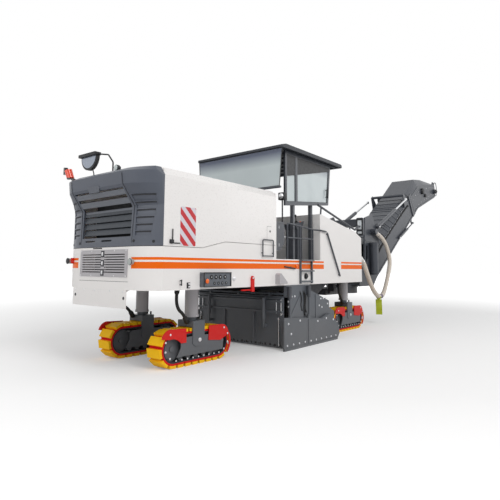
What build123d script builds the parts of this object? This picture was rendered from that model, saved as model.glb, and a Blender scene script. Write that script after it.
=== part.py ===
from build123d import *
import os
from math import atan2, cos, degrees, hypot, pi, radians, sin, tan

# Cold planer milling machine on four steered tracks, in millimetres.
# +X points forward, from the engine end to the discharge conveyor, +Y to the left and +Z up.
# The origin lies on the ground, below the middle of the machine with its conveyor.

# Driving sizes of the whole machine
rear_x = -7320.0
body_half_width = 1175.0
ground_clearance = 1210.0
hood_top_z = 3000.0
hood_front_x = rear_x + 2930.0
hood_seam_x = rear_x + 190.0
front_body_rear_x = rear_x + 4560.0
front_body_x = rear_x + 6567.0
wall = 30.0
seam_gap = 8.0

# Tracks and legs
track_rear_x = rear_x + 1275.0
track_front_x = rear_x + 6585.0
track_half_gauge = 645.0
track_length = 1580.0
track_height = 580.0
track_width = 300.0
shoe_count = 22
shoe_height = 66.0
shoe_plate_height = 16.0
link_thickness = 36.0
leg_radius = 85.0
sleeve_radius = 112.0
sleeve_bottom_z = 740.0
leg_clearance = 0.6
yoke_half_length = 130.0
yoke_plate = 26.0
yoke_gap = 6.0
yoke_top_z = 690.0
yoke_bottom_z = 400.0

# Chassis
rail_bottom_z = ground_clearance
rail_top_z = 1450.0
seat = 0.3
rail_outer_y = body_half_width - wall - seat
rail_thickness = 80.0
skirt_top_z = 1842.0
skirt_step_z = 1958.0
skirt_step_x = (rear_x + 970.0, rear_x + 1500.0)
sill_top_z = 1710.0
platform_z = 1660.0

# Milling unit
drum_x = rear_x + 3950.0
drum_z = 570.0
drum_radius = 385.0
cutting_radius = 490.0
housing_rear_x = rear_x + 3215.0
housing_front_x = rear_x + 5090.0
housing_half_width = body_half_width + 20.0
housing_bottom_z = 330.0
drum_half_width = housing_half_width - 205.0
plate_inner_y = housing_half_width + 37.0
plate_outer_y = plate_inner_y + 40.0
plate_lift = 330.0

# Discharge conveyor
slew_x = rear_x + 7750.0
lift_x = rear_x + 8420.0
lift_z = 1450.0
conveyor_rise = 33.0
conveyor_half_width = 550.0
trunk_length = 4250.0
trunk_below = 390.0
trunk_above = 450.0
fold_gap = 20.0
head_angle = 18.0
head_length = 2820.0
pin_radius = 60.0
pin_clearance = 0.6


def plate_xz(points, y_from, y_to, mode=Mode.ADD):
    """Flat plate with its outline in the X-Z plane, between two values of y."""
    with BuildSketch(Plane.XZ.offset(-y_to)) as outline:
        with BuildLine():
            Polyline(*points, close=True)
        make_face()
    extrude(outline.sketch, amount=y_to - y_from, mode=mode)


def plate_yz(points, x_from, x_to, mode=Mode.ADD):
    """Flat plate with its outline in the Y-Z plane, between two values of x."""
    with BuildSketch(Plane.YZ.offset(x_from)) as outline:
        with BuildLine():
            Polyline(*points, close=True)
        make_face()
    extrude(outline.sketch, amount=x_to - x_from, mode=mode)


def block(x, y, z, mode=Mode.ADD):
    """Box between the pairs of limits x, y and z."""
    with Locations(((x[0] + x[1]) / 2, (y[0] + y[1]) / 2, (z[0] + z[1]) / 2)):
        Box(abs(x[1] - x[0]), abs(y[1] - y[0]), abs(z[1] - z[0]), mode=mode)


def pair(x, y, z, mode=Mode.ADD):
    """The same box on the left and on the right of the machine."""
    block(x, y, z, mode)
    block(x, (-y[1], -y[0]), z, mode)


def bar(start, end, radius, mode=Mode.ADD):
    """Round bar between two points."""
    run = Vector(*end) - Vector(*start)
    plane = Plane(origin=start, z_dir=run)
    with Locations(plane.location):
        Cylinder(radius, run.length, align=(Align.CENTER, Align.CENTER, Align.MIN), mode=mode)


def cross_bar(x, z, radius, y_from, y_to, mode=Mode.ADD):
    """Round bar that lies along Y."""
    bar((x, y_from, z), (x, y_to, z), radius, mode)


def tube(points, bend_radius, radius):
    """Round tube along straight runs joined by arcs of one radius."""
    with BuildLine() as route:
        FilletPolyline(*points, radius=bend_radius)
    path = route.wires()[0]
    with BuildSketch(Plane(origin=path @ 0, z_dir=path % 0)) as section:
        Circle(radius)
    sweep(section.sketch, path=path)


def mirrored(y_from, y_to, side):
    """Limits of y on one side of the machine, in rising order."""
    return (y_from, y_to) if side > 0 else (-y_to, -y_from)


def along(origin, rise, forward, up):
    """Point at a distance along and above a line that climbs at the angle rise."""
    a = radians(rise)
    return (origin[0] + forward * cos(a) - up * sin(a), origin[1] + forward * sin(a) + up * cos(a))


def sloped(origin, rise, rows):
    """Points given along and above a sloping line."""
    return [along(origin, rise, forward, up) for forward, up in rows]


def across(origin, rise, forward_from, forward_to, rows, mode=Mode.ADD):
    """Body along a sloping line, its outline given across it as y and height above the line."""
    start = along(origin, rise, forward_from, 0)
    direction = (cos(radians(rise)), 0, sin(radians(rise)))
    with BuildSketch(Plane(origin=(start[0], 0, start[1]), x_dir=(0, 1, 0), z_dir=direction)) as outline:
        with BuildLine():
            Polyline(*rows, close=True)
        make_face()
    extrude(outline.sketch, amount=forward_to - forward_from, mode=mode)


def slat(x, z, width, thickness, rise, half_length):
    """Flat bar across the machine, its width lying along the slope rise."""
    rows = [(-width / 2, -thickness / 2), (width / 2, -thickness / 2),
            (width / 2, thickness / 2), (-width / 2, thickness / 2)]
    plate_xz(sloped((x, z), rise, rows), -half_length, half_length)


os.makedirs("parts", exist_ok=True)

# Chassis: two rails and the cross beams that carry the legs and the milling unit
with BuildPart() as chassis_frame:
    pair((rear_x + 240, front_body_x - wall), (rail_outer_y - rail_thickness, rail_outer_y),
         (rail_bottom_z, rail_top_z))
    for beam_x, half_length in (
        (rear_x + 300, 60),
        (track_rear_x, 160),
        (rear_x + 2300, 60),
        (rear_x + 3130, 70),
        (rear_x + 5200, 70),
    ):
        block((beam_x - half_length, beam_x + half_length), (-rail_outer_y, rail_outer_y),
              (rail_bottom_z, rail_top_z))
    pair((track_front_x - 150, front_body_x - wall), (470, rail_outer_y), (rail_bottom_z, rail_top_z))
chassis_frame.part.label = "chassis_frame"
export_step(chassis_frame.part, "parts/chassis_frame.step")

# White skirt around the engine bay, with rounded rear corners and a stepped top edge
corner_y = body_half_width - 515.0
corner_mid = (62.0, body_half_width - 215.0)


def skirt_outline(inset):
    """Outline of the rear body in plan, its wall line moved inwards by inset."""
    x_rear = rear_x + inset
    y_side = body_half_width - inset
    x_side = hood_seam_x + inset * 0.3
    x_mid = rear_x + corner_mid[0] + inset * 0.85
    y_mid = corner_mid[1] - inset * 0.5
    x_front = hood_front_x
    with BuildSketch() as plan:
        with BuildLine():
            Line((x_rear, corner_y), (x_rear, -corner_y))
            ThreePointArc((x_rear, -corner_y), (x_mid, -y_mid), (x_side, -y_side))
            Line((x_side, -y_side), (x_front, -y_side))
            Line((x_front, -y_side), (x_front, y_side))
            Line((x_front, y_side), (x_side, y_side))
            ThreePointArc((x_side, y_side), (x_mid, y_mid), (x_rear, corner_y))
        make_face()
    return plan.sketch


louvre_half_width = 620.0
louvre_z = (1395.0, 1805.0)

with BuildPart() as rear_skirt:
    extrude(skirt_outline(0), amount=skirt_step_z)
    extrude(skirt_outline(wall), amount=skirt_step_z, mode=Mode.SUBTRACT)
    block((rear_x - 50, hood_front_x + 50), (-1500, 1500), (0, ground_clearance), Mode.SUBTRACT)
    plate_xz([(rear_x - 50, skirt_top_z), (skirt_step_x[0], skirt_top_z), (skirt_step_x[1], skirt_step_z),
              (hood_front_x + 50, skirt_step_z), (hood_front_x + 50, 2500), (rear_x - 50, 2500)],
             -1500, 1500, Mode.SUBTRACT)
    block((rear_x - 50, rear_x + 60), (-louvre_half_width, louvre_half_width), louvre_z, Mode.SUBTRACT)
    block((hood_front_x - 2 * wall, hood_front_x + 50), (-body_half_width + wall, body_half_width - wall),
          (0, 2500), Mode.SUBTRACT)
rear_skirt.part.label = "rear_skirt"
export_step(rear_skirt.part, "parts/rear_skirt.step")

# Louvred panel in the lower rear, in front of the coolers
with BuildPart() as rear_louvre:
    block((rear_x - 12, rear_x + 30), (-louvre_half_width + seat, louvre_half_width - seat),
          (louvre_z[0] + seat, louvre_z[1] - seat))
    for row in range(8):
        slot_z = louvre_z[0] + 62 + row * 38
        pair((rear_x - 20, rear_x + 40), (45, louvre_half_width - 60), (slot_z, slot_z + 16), Mode.SUBTRACT)
rear_louvre.part.label = "rear_louvre"
export_step(rear_louvre.part, "parts/rear_louvre.step")

# Bare sheet plate that hangs below the rear of the skirt, with two gussets
plate_head_z = ground_clearance - seat
with BuildPart() as rear_plate:
    plate_yz([(-600, plate_head_z), (-600, 938), (820, 938), (820, plate_head_z)], rear_x, rear_x + 12)
    for gusset_y in (-590, 780):
        plate_xz([(rear_x + 12, plate_head_z), (rear_x + 12, 1180), (rear_x + 90, plate_head_z)],
                 gusset_y, gusset_y + 20)
rear_plate.part.label = "rear_plate"
export_step(rear_plate.part, "parts/rear_plate.step")

# Engine and coolers, plain blocks inside the hood
with BuildPart() as engine_block:
    block((rear_x + 760, rear_x + 2090), (-450, 450), (rail_top_z, 2300))
engine_block.part.label = "engine_block"
export_step(engine_block.part, "parts/engine_block.step")

with BuildPart() as cooler_pack:
    block((rear_x + 245, rear_x + 355), (-600, 600), (rail_top_z, 2560))
cooler_pack.part.label = "cooler_pack"
export_step(cooler_pack.part, "parts/cooler_pack.step")

# Engine hood: white shell with chamfered top edges, hinged at its front top edge
chamfer_z = 120.0
chamfer_y = 90.0
hood_hinge_x = hood_front_x + 15.0
hood_hinge_z = hood_top_z - 15.0
hinge_ys = (-900.0, 0.0, 900.0)
knuckle_radius = 12.0


def hood_section(inset):
    """Outline of the hood across the machine, its wall line moved inwards by inset."""
    y_side = body_half_width - inset
    z_top = hood_top_z - inset
    return [(-y_side, 1500), (-y_side, z_top - chamfer_z), (-y_side + chamfer_y, z_top),
            (y_side - chamfer_y, z_top), (y_side, z_top - chamfer_z), (y_side, 1500)]


def cut_hood_foot():
    """Cuts a hood part along the stepped seam above the skirt."""
    low = skirt_top_z + seam_gap
    high = skirt_step_z + seam_gap
    plate_xz([(rear_x - 500, 1400), (rear_x - 500, low), (skirt_step_x[0], low), (skirt_step_x[1], high),
              (hood_front_x + 50, high), (hood_front_x + 50, 1400)], -1500, 1500, Mode.SUBTRACT)


with BuildPart() as engine_hood:
    plate_yz(hood_section(0), hood_seam_x, hood_front_x)
    plate_yz(hood_section(wall), hood_seam_x - 10, hood_front_x + 10, Mode.SUBTRACT)
    cut_hood_foot()
    block((hood_seam_x, hood_seam_x + wall), (-body_half_width + wall, body_half_width - wall),
          (hood_top_z - 200, hood_top_z - wall))
    for knuckle_y in hinge_ys:
        block((hood_front_x - 20, hood_hinge_x), (knuckle_y - 60, knuckle_y - seat),
              (hood_hinge_z - knuckle_radius, hood_hinge_z + knuckle_radius))
        cross_bar(hood_hinge_x, hood_hinge_z, knuckle_radius, knuckle_y - 60, knuckle_y - seat)
engine_hood.part.label = "engine_hood"
export_step(engine_hood.part, "parts/engine_hood.step")

# Dark rear hood: overhanging cap, slanted upper face, upright lower face and rounded corners
hood_rows = (
    # x of the flat face, x halfway round the corner, x where the corner meets the side, z
    (14.0, 72.0, 180.0, skirt_top_z + seam_gap),
    (36.0, 90.0, 180.0, 2440.0),
    (-180.0, -60.0, 150.0, 2746.0),
    (-198.0, -78.0, 140.0, 2934.0),
    (-70.0, 20.0, 150.0, hood_top_z),
)
cap_z = 2900.0
opening_half_width = 640.0
opening_z = (1995.0, 2705.0)
vent_depth = 14.0
vent_inner_y = 735.0
vent_rows = (
    # lower z, upper z, y of the outer end
    (2005.0, 2068.0, 1015.0),
    (2080.0, 2170.0, 1030.0),
    (2184.0, 2276.0, 1050.0),
    (2292.0, 2384.0, 1070.0),
    (2400.0, 2492.0, 1090.0),
    (2508.0, 2600.0, 1100.0),
)


def hood_shape(inset, mode=Mode.ADD):
    """Body of the rear hood, its wall line moved inwards by inset."""
    y_side = body_half_width - inset
    y_mid = corner_mid[1] - 0.6 * inset
    x_seam = hood_seam_x - seat + max(inset, 0)
    sections = []
    for flat_x, mid_x, side_x, z in hood_rows:
        x_flat = rear_x + flat_x + inset
        x_mid = rear_x + mid_x + 0.8 * inset
        x_side = rear_x + side_x + 0.3 * inset
        with BuildSketch(Plane.XY.offset(z - inset if z > cap_z else z)) as section:
            with BuildLine():
                Line((x_flat, corner_y), (x_flat, -corner_y))
                ThreePointArc((x_flat, -corner_y), (x_mid, -y_mid), (x_side, -y_side))
                Polyline((x_side, -y_side), (x_seam, -y_side), (x_seam, y_side), (x_side, y_side))
                ThreePointArc((x_side, y_side), (x_mid, y_mid), (x_flat, corner_y))
            make_face()
        sections.append(section.sketch)
    loft(sections, ruled=True, mode=mode)
    z_top = hood_top_z - inset
    for side in (-1, 1):
        plate_yz([(side * y_side, z_top - chamfer_z), (side * (y_side + 50), z_top - chamfer_z),
                  (side * (y_side + 50), hood_top_z + 50), (side * (y_side - chamfer_y), hood_top_z + 50),
                  (side * (y_side - chamfer_y), z_top)], rear_x - 400, rear_x + 400, Mode.SUBTRACT)


with BuildPart() as hood_inside:
    hood_shape(wall)

with BuildPart() as vent_windows:
    for vent_low_z, vent_high_z, vent_outer_y in vent_rows:
        pair((rear_x - 400, rear_x + 170), (vent_inner_y, vent_outer_y), (vent_low_z, vent_high_z))

with BuildPart() as vent_floor:
    hood_shape(vent_depth)

with BuildPart() as rear_hood:
    hood_shape(0)
    add(vent_windows.part - vent_floor.part, mode=Mode.SUBTRACT)
    add(hood_inside.part, mode=Mode.SUBTRACT)
    block((rear_x - 300, rear_x + 300), (-opening_half_width, opening_half_width), opening_z, Mode.SUBTRACT)
    with BuildSketch(Plane.YZ.offset(rear_x - 50)) as slot_holes:
        for slot_y in (410, -35):
            with Locations((slot_y, 1945)):
                SlotOverall(270, 24)
    extrude(slot_holes.sketch, amount=150, mode=Mode.SUBTRACT)
rear_hood.part.label = "rear_hood"
export_step(rear_hood.part, "parts/rear_hood.step")

# Slats across the grille opening: two wide ones in the slanted face, four overlapping blades below
slat_half_width = opening_half_width - seat
with BuildPart() as grille_slats:
    for slat_x, slat_z, slat_width, slat_rise in (
        (-101.0, 2647.0, 86.0, -54.8),
        (-17.0, 2528.0, 94.0, -54.8),
        (66.0, 2387.0, 92.0, -108.0),
        (66.0, 2285.0, 92.0, -108.0),
        (66.0, 2183.0, 92.0, -108.0),
        (66.0, 2081.0, 92.0, -108.0),
    ):
        slat(rear_x + slat_x, slat_z, slat_width, 12, slat_rise, slat_half_width)
grille_slats.part.label = "grille_slats"
export_step(grille_slats.part, "parts/grille_slats.step")

# Wall between the engine bay and the platform
with BuildPart() as bulkhead:
    block((hood_front_x + 20, hood_front_x + 60), (-body_half_width + 40, body_half_width - 40),
          (rail_top_z, hood_top_z - 40))
    for knuckle_y in hinge_ys:
        block((hood_hinge_x, hood_front_x + 60), (knuckle_y, knuckle_y + 60),
              (hood_top_z - 41, hood_hinge_z + knuckle_radius - 4))
        cross_bar(hood_hinge_x, hood_hinge_z, knuckle_radius, knuckle_y, knuckle_y + 60)
bulkhead.part.label = "bulkhead"
export_step(bulkhead.part, "parts/bulkhead.step")

# White sills below the platform, one on each side
with BuildPart() as side_sills:
    pair((hood_front_x + seat, front_body_rear_x - seat), (body_half_width - wall, body_half_width),
         (ground_clearance, sill_top_z))
side_sills.part.label = "side_sills"
export_step(side_sills.part, "parts/side_sills.step")

# Route of the dust hose, from a socket on the front body to an elbow on the slewing mast
hose_radius = 60.0
hose_route = (
    # x, y, z of the points where its runs meet
    (rear_x + 6647.0, -1100.0, 1780.0),
    (rear_x + 6914.0, -1062.0, 1702.0),
    (rear_x + 7186.0, -1012.0, 1446.0),
    (rear_x + 7630.0, -930.0, 1096.0),
    (rear_x + 8010.0, -870.0, 867.0),
    (rear_x + 8386.0, -820.0, 739.0),
    (rear_x + 8738.0, -790.0, 778.0),
    (rear_x + 9023.0, -770.0, 1056.0),
    (rear_x + 9284.0, -755.0, 1435.0),
    (rear_x + 9430.0, -750.0, 1760.0),
    (rear_x + 9279.0, -742.0, 2110.0),
    (rear_x + 9058.0, -735.0, 2355.0),
    (rear_x + 8700.0, -725.0, 2520.0),
    (rear_x + 8480.0, -716.0, 2570.0),
)


def hose_start(distance):
    """Point on the line of the hose's first run, at a distance from its end on the machine."""
    first, second = Vector(*hose_route[0]), Vector(*hose_route[1])
    return first + (second - first).normalized() * distance


def hose_end(distance):
    """Point on the line of the hose's last run, at a distance back from its end on the mast."""
    last, before = Vector(*hose_route[-1]), Vector(*hose_route[-2])
    return last + (before - last).normalized() * distance


# White front body with a sloping top, open below and in front for the primary conveyor
front_top = (front_body_rear_x, 2712.0)
front_brow = (front_body_x - 335.0, 2425.0)
front_profile = [(front_body_rear_x, ground_clearance), (front_body_x, ground_clearance),
                 (front_body_x, 2294), front_brow, front_top]
with BuildPart() as front_body:
    plate_xz(front_profile, -body_half_width, body_half_width)
    plate_xz([(front_body_rear_x + wall, ground_clearance - 10), (front_body_x - wall, ground_clearance - 10),
              (front_body_x - wall, 2294 - wall), (front_brow[0], front_brow[1] - wall),
              (front_body_rear_x + wall, front_top[1] - wall)], -body_half_width + wall, body_half_width - wall,
             Mode.SUBTRACT)
    bar(hose_start(-95), hose_start(-seat), hose_radius + 12)
    block((front_body_x - 100, front_body_x + 100), (-470, 470), (1100, 2200), Mode.SUBTRACT)
    block((front_body_rear_x - 10, front_body_rear_x + wall + 10),
          (-body_half_width + wall, body_half_width - wall), (1100, platform_z), Mode.SUBTRACT)
front_body.part.label = "front_body"
export_step(front_body.part, "parts/front_body.step")

# Platform floor
with BuildPart() as platform_deck:
    deck_half_width = body_half_width - wall - seat
    block((hood_front_x + 60 + seat, front_body_rear_x - seat), (-deck_half_width, deck_half_width),
          (platform_z - 40, platform_z))
platform_deck.part.label = "platform_deck"
export_step(platform_deck.part, "parts/platform_deck.step")


# Leg sleeves under the cross beams, one over each track
with BuildPart() as leg_sleeves:
    for leg_x in (track_rear_x, track_front_x):
        for side in (-1, 1):
            bar((leg_x, side * track_half_gauge, sleeve_bottom_z),
                (leg_x, side * track_half_gauge, rail_bottom_z), sleeve_radius)
            bar((leg_x, side * track_half_gauge, sleeve_bottom_z),
                (leg_x, side * track_half_gauge, sleeve_bottom_z + 36), sleeve_radius + 10)
            bar((leg_x, side * track_half_gauge, rail_bottom_z - 36),
                (leg_x, side * track_half_gauge, rail_bottom_z), sleeve_radius + 28)
            bar((leg_x, side * track_half_gauge, sleeve_bottom_z - 1),
                (leg_x, side * track_half_gauge, rail_bottom_z + 1), leg_radius + leg_clearance, Mode.SUBTRACT)
leg_sleeves.part.label = "leg_sleeves"
export_step(leg_sleeves.part, "parts/leg_sleeves.step")

# Track: one closed loop whose outline holds the shoes
loop_radius = track_height / 2 - shoe_height
loop_straight = track_length - track_height
loop_length = 2 * loop_straight + 2 * pi * loop_radius
track_z = track_height / 2


def loop_point(distance, lift):
    """Point of the loop at a distance along its root line, lifted outwards."""
    radius = loop_radius + lift
    arc = pi * loop_radius
    distance = distance % loop_length
    if distance < loop_straight:
        return (distance - loop_straight / 2, track_z + radius)
    distance -= loop_straight
    if distance < arc:
        angle = distance / loop_radius
        return (loop_straight / 2 + radius * sin(angle), track_z + radius * cos(angle))
    distance -= arc
    if distance < loop_straight:
        return (loop_straight / 2 - distance, track_z - radius)
    angle = (distance - loop_straight) / loop_radius
    return (-loop_straight / 2 - radius * sin(angle), track_z - radius * cos(angle))


shoe_rows = (
    # share of the pitch, height above the links: the shoe's plate with its rubber pad
    (0.03, 0.0),
    (0.05, shoe_plate_height),
    (0.12, shoe_plate_height),
    (0.15, shoe_height),
    (0.85, shoe_height),
    (0.88, shoe_plate_height),
    (0.95, shoe_plate_height),
    (0.97, 0.0),
)


def track_outline():
    """Closed outline with one shoe for each pitch of the loop."""
    pitch = loop_length / shoe_count
    return [loop_point((shoe + share) * pitch, lift) for shoe in range(shoe_count) for share, lift in shoe_rows]


def stadium(x, z, straight, radius, y_from, y_to, mode=Mode.ADD):
    """Plate with two round ends, lying along X."""
    with BuildSketch(Plane.XZ.offset(-y_to)) as outline:
        with Locations((x, z)):
            SlotCenterToCenter(straight, 2 * radius)
    extrude(outline.sketch, amount=y_to - y_from, mode=mode)


wheel_radius = loop_radius - link_thickness - 0.2
frame_half_width = 60.0
frame_plate = 14.0
roller_radius = 45.0
roller_xs = (-340.0, -170.0, 0.0, 170.0, 340.0)
cheek_y = track_width / 2 + yoke_gap
guard_plate = 12.0
frame_plate_rows = (
    # x from the leg's middle, z: lower edge, front end, upper edge behind the guards, arch round the rear wheel
    (-452.0, 166.0), (583.0, 166.0), (603.0, 327.0), (560.0, 430.0), (130.0, 452.0), (-130.0, 452.0),
    (-330.0, 452.0), (-372.0, 420.0), (-372.0, 300.0),
)


def guard_sketch(leg_x, y_to):
    """Rear guard, front guard and the band round the front end of a track."""
    band = [(leg_x + loop_straight / 2 + radius * cos(radians(angle)), track_z + radius * sin(radians(angle)))
            for radius, angle in ((276, 32), (276, -6), (276, -44), (238, -44), (238, -6), (238, 32))]
    with BuildSketch(Plane.XZ.offset(-y_to)) as guards:
        with BuildLine():
            ThreePointArc((leg_x - 770, 471), (leg_x - 705, 570), (leg_x - 573, 601))
            Polyline((leg_x - 573, 601), (leg_x - 277, 590), (leg_x - 271, 372), (leg_x - 384, 372))
            ThreePointArc((leg_x - 384, 372), (leg_x - 480, 436), (leg_x - 620, 447))
            Line((leg_x - 620, 447), (leg_x - 770, 471))
        make_face()
        with BuildLine():
            Polyline((leg_x + 717, 405), (leg_x + 513, 323), (leg_x + 230, 355), (leg_x + 236, 590),
                     (leg_x + 554, 583))
            ThreePointArc((leg_x + 554, 583), (leg_x + 665, 537), (leg_x + 717, 405))
        make_face()
        with BuildLine():
            ThreePointArc(*band[:3])
            Line(band[2], band[3])
            ThreePointArc(*band[3:])
            Line(band[5], band[0])
        make_face()
    return guards.sketch


for track_name, leg_x, side in (
    ("rear_right", track_rear_x, -1),
    ("rear_left", track_rear_x, 1),
    ("front_right", track_front_x, -1),
    ("front_left", track_front_x, 1),
):
    leg_y = side * track_half_gauge
    with BuildPart() as track_loop:
        plate_xz([(leg_x + x, z) for x, z in track_outline()], leg_y - track_width / 2, leg_y + track_width / 2)
        stadium(leg_x, track_z, loop_straight, loop_radius - link_thickness,
                leg_y - track_width / 2 - 1, leg_y + track_width / 2 + 1, Mode.SUBTRACT)
    track_loop.part.label = f"track_{track_name}"
    export_step(track_loop.part, f"parts/track_{track_name}.step")

    with BuildPart() as track_frame:
        stadium(leg_x, track_z, loop_straight, wheel_radius - 60,
                leg_y - frame_half_width, leg_y + frame_half_width)
        for end in (-1, 1):
            wheel_x = leg_x + end * loop_straight / 2
            cross_bar(wheel_x, track_z, wheel_radius, leg_y - 72, leg_y + 72)
            cross_bar(wheel_x, track_z, wheel_radius - 32, leg_y - 84, leg_y + 84)
            cross_bar(wheel_x, track_z, 42, leg_y - 100, leg_y + 100)
        for roller_x in roller_xs:
            cross_bar(leg_x + roller_x, track_z - wheel_radius + roller_radius, roller_radius,
                      leg_y - 120, leg_y + 120)
        cross_bar(leg_x, yoke_bottom_z + 30, 40, leg_y - cheek_y - yoke_plate, leg_y + cheek_y + yoke_plate)
        for cheek in (-1, 1):
            y_frame = mirrored(cheek_y, cheek_y + frame_plate, cheek)
            plate_xz([(leg_x + x, z) for x, z in frame_plate_rows], leg_y + y_frame[0], leg_y + y_frame[1])
            y_pair = mirrored(cheek_y, cheek_y + yoke_plate, cheek)
            plate_xz([(leg_x - yoke_half_length, yoke_top_z), (leg_x - yoke_half_length, yoke_bottom_z - 70),
                      (leg_x - yoke_half_length * 0.5, yoke_bottom_z - 110),
                      (leg_x + yoke_half_length * 0.5, yoke_bottom_z - 110),
                      (leg_x + yoke_half_length, yoke_bottom_z - 70), (leg_x + yoke_half_length, yoke_top_z)],
                     leg_y + y_pair[0], leg_y + y_pair[1])
        block((leg_x - yoke_half_length, leg_x + yoke_half_length),
              (leg_y - cheek_y - yoke_plate, leg_y + cheek_y + yoke_plate), (track_height + 12, yoke_top_z))
        bar((leg_x, leg_y, yoke_top_z - 10), (leg_x, leg_y, rail_bottom_z - 1), leg_radius)
    track_frame.part.label = f"track_frame_{track_name}"
    export_step(track_frame.part, f"parts/track_frame_{track_name}.step")

    with BuildPart() as track_guards:
        guard_y = cheek_y + frame_plate + seat
        y_pair = mirrored(guard_y, guard_y + guard_plate, side)
        extrude(guard_sketch(leg_x, leg_y + y_pair[1]), amount=guard_plate)
    track_guards.part.label = f"track_guards_{track_name}"
    export_step(track_guards.part, f"parts/track_guards_{track_name}.step")

# Drum housing: two side walls, a stepped and sloping roof and a front wall, open below
roof_step_x = rear_x + 4075.0
roof_end_x = rear_x + 4870.0
roof_slope_z = (1100.0, 840.0)
nose_z = (700.0, 600.0)


def housing_profile(inset):
    """Side view of the drum housing, its wall line moved inwards by inset."""
    x_rear = housing_rear_x + 120 - inset
    z_top = rail_bottom_z - seat - inset
    return [(x_rear, housing_bottom_z - inset), (housing_front_x - inset, housing_bottom_z - inset),
            (housing_front_x - inset, nose_z[1] - 0.5 * inset), (roof_end_x - inset, nose_z[0] - 0.5 * inset),
            (roof_end_x - inset, roof_slope_z[1] - 0.7 * inset),
            (roof_step_x - inset, roof_slope_z[0] - 1.1 * inset), (roof_step_x - inset, z_top), (x_rear, z_top)]


arm_plate = 10.0
with BuildPart() as drum_housing:
    plate_xz(housing_profile(0), -housing_half_width, housing_half_width)
    plate_xz(housing_profile(wall), -housing_half_width + wall, housing_half_width - wall, Mode.SUBTRACT)
    block((roof_end_x - 60, housing_front_x + 10), (-405, 405), (560, 1050), Mode.SUBTRACT)
    pair((housing_rear_x + 20, housing_rear_x + 200), (housing_half_width - 60, housing_half_width),
         (980, rail_bottom_z - seat))
    for side in (-1, 1):
        y_arm = mirrored(housing_half_width, housing_half_width + arm_plate, side)
        plate_xz([(housing_rear_x + 125, 597), (rear_x + 3700, 1009), (rear_x + 3769, 1009), (rear_x + 3790, 560),
                  (rear_x + 3560, 470), (housing_rear_x + 125, 470)], *y_arm)
        plate_xz([(rear_x + 4290, 420), (rear_x + 4340, 420), (rear_x + 4340, 985), (rear_x + 4290, 1000)], *y_arm)
drum_housing.part.label = "drum_housing"
export_step(drum_housing.part, "parts/drum_housing.step")

# Milling drum with its tool holders on two helices that meet in the middle
helix_turns = 1.5
holder_count = 22
with BuildPart() as milling_drum:
    cross_bar(drum_x, drum_z, drum_radius, -drum_half_width, drum_half_width)
    cross_bar(drum_x, drum_z, drum_radius - 50, -drum_half_width - 1, drum_half_width + 1, Mode.SUBTRACT)
    for plate_y in (-drum_half_width + 60, 0, drum_half_width - 60):
        cross_bar(drum_x, drum_z, drum_radius - 20, plate_y - 20, plate_y + 20)
    cross_bar(drum_x, drum_z, 90, -housing_half_width + wall + seat, housing_half_width - wall - seat)
    for side in (-1, 1):
        for holder in range(holder_count):
            share = (holder + 0.5) / holder_count
            angle = 360 * helix_turns * share + (180 if side > 0 else 0)
            y_mid = side * share * (drum_half_width - 30)
            with Locations(Location((drum_x, y_mid, drum_z), (0, angle, 0))):
                with Locations((drum_radius + 30, 0, 0)):
                    Box(120, 44, 90)
                with Locations(Location((cutting_radius - 30, 0, 40), (0, 40, 0))):
                    Cylinder(16, 60)
milling_drum.part.label = "milling_drum"
export_step(milling_drum.part, "parts/milling_drum.step")

# Side plates that float on the ground beside the drum, with their lifting rods
rod_radius = 22.0
rod_length = 420.0
cylinder_radius = 38.0
cylinder_xs = (housing_rear_x + 60.0, roof_step_x - 115.0)
cylinder_y = (plate_inner_y + plate_outer_y) / 2
plate_top_z = 600.0
plate_lap = 10.0
rod_block_top_z = plate_top_z + 20.0
plate_split_x = rear_x + 3906.0
for side_name, side in (("right", -1), ("left", 1)):
    with BuildPart() as side_plate:
        y_pair = mirrored(plate_inner_y, plate_outer_y - plate_lap, side)
        plate_xz([(rear_x + 3065, 4), (rear_x + 5100, 4), (rear_x + 5198, 120), (rear_x + 5165, 300),
                  (rear_x + 4980, 460), (rear_x + 4763, 585), (rear_x + 4420, 507), (plate_split_x + 120, 545),
                  (rear_x + 3067, plate_top_z + 14)], *y_pair)
        y_lap = mirrored(plate_outer_y - plate_lap, plate_outer_y, side)
        plate_xz([(plate_split_x, 60), (rear_x + 5120, 60), (rear_x + 5186, 130), (rear_x + 5155, 290),
                  (rear_x + 4972, 448), (rear_x + 4760, 570), (rear_x + 4420, 492), (plate_split_x, 532)], *y_lap)
        y_skid = mirrored(plate_inner_y - 4, plate_outer_y + 3, side)
        block((rear_x + 3070, rear_x + 5090), y_skid, (0, 40))
        for rod_x in cylinder_xs:
            block((rod_x - 45, rod_x + 45), y_pair, (plate_top_z - 100, rod_block_top_z))
            bar((rod_x, side * cylinder_y, plate_top_z - 5), (rod_x, side * cylinder_y, plate_top_z + rod_length),
                rod_radius)
    side_plate.part.label = f"side_plate_{side_name}"
    export_step(side_plate.part, f"parts/side_plate_{side_name}.step")

plate_barrel_z = (rod_block_top_z + plate_lift + 10.0, 1190.0)
rod_clearance = 0.6
with BuildPart() as plate_cylinders:
    for side in (-1, 1):
        for rod_x in cylinder_xs:
            barrel_y = side * cylinder_y
            bar((rod_x, barrel_y, plate_barrel_z[0]), (rod_x, barrel_y, plate_barrel_z[1]), cylinder_radius)
            bar((rod_x, barrel_y, plate_barrel_z[0] - 1), (rod_x, barrel_y, plate_barrel_z[1] + 1),
                rod_radius + rod_clearance, Mode.SUBTRACT)
            y_lug = mirrored(housing_half_width, cylinder_y - rod_radius - 1, side)
            block((rod_x - 30, rod_x + 30), y_lug, (1000, 1180))
plate_cylinders.part.label = "plate_cylinders"
export_step(plate_cylinders.part, "parts/plate_cylinders.step")

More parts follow.
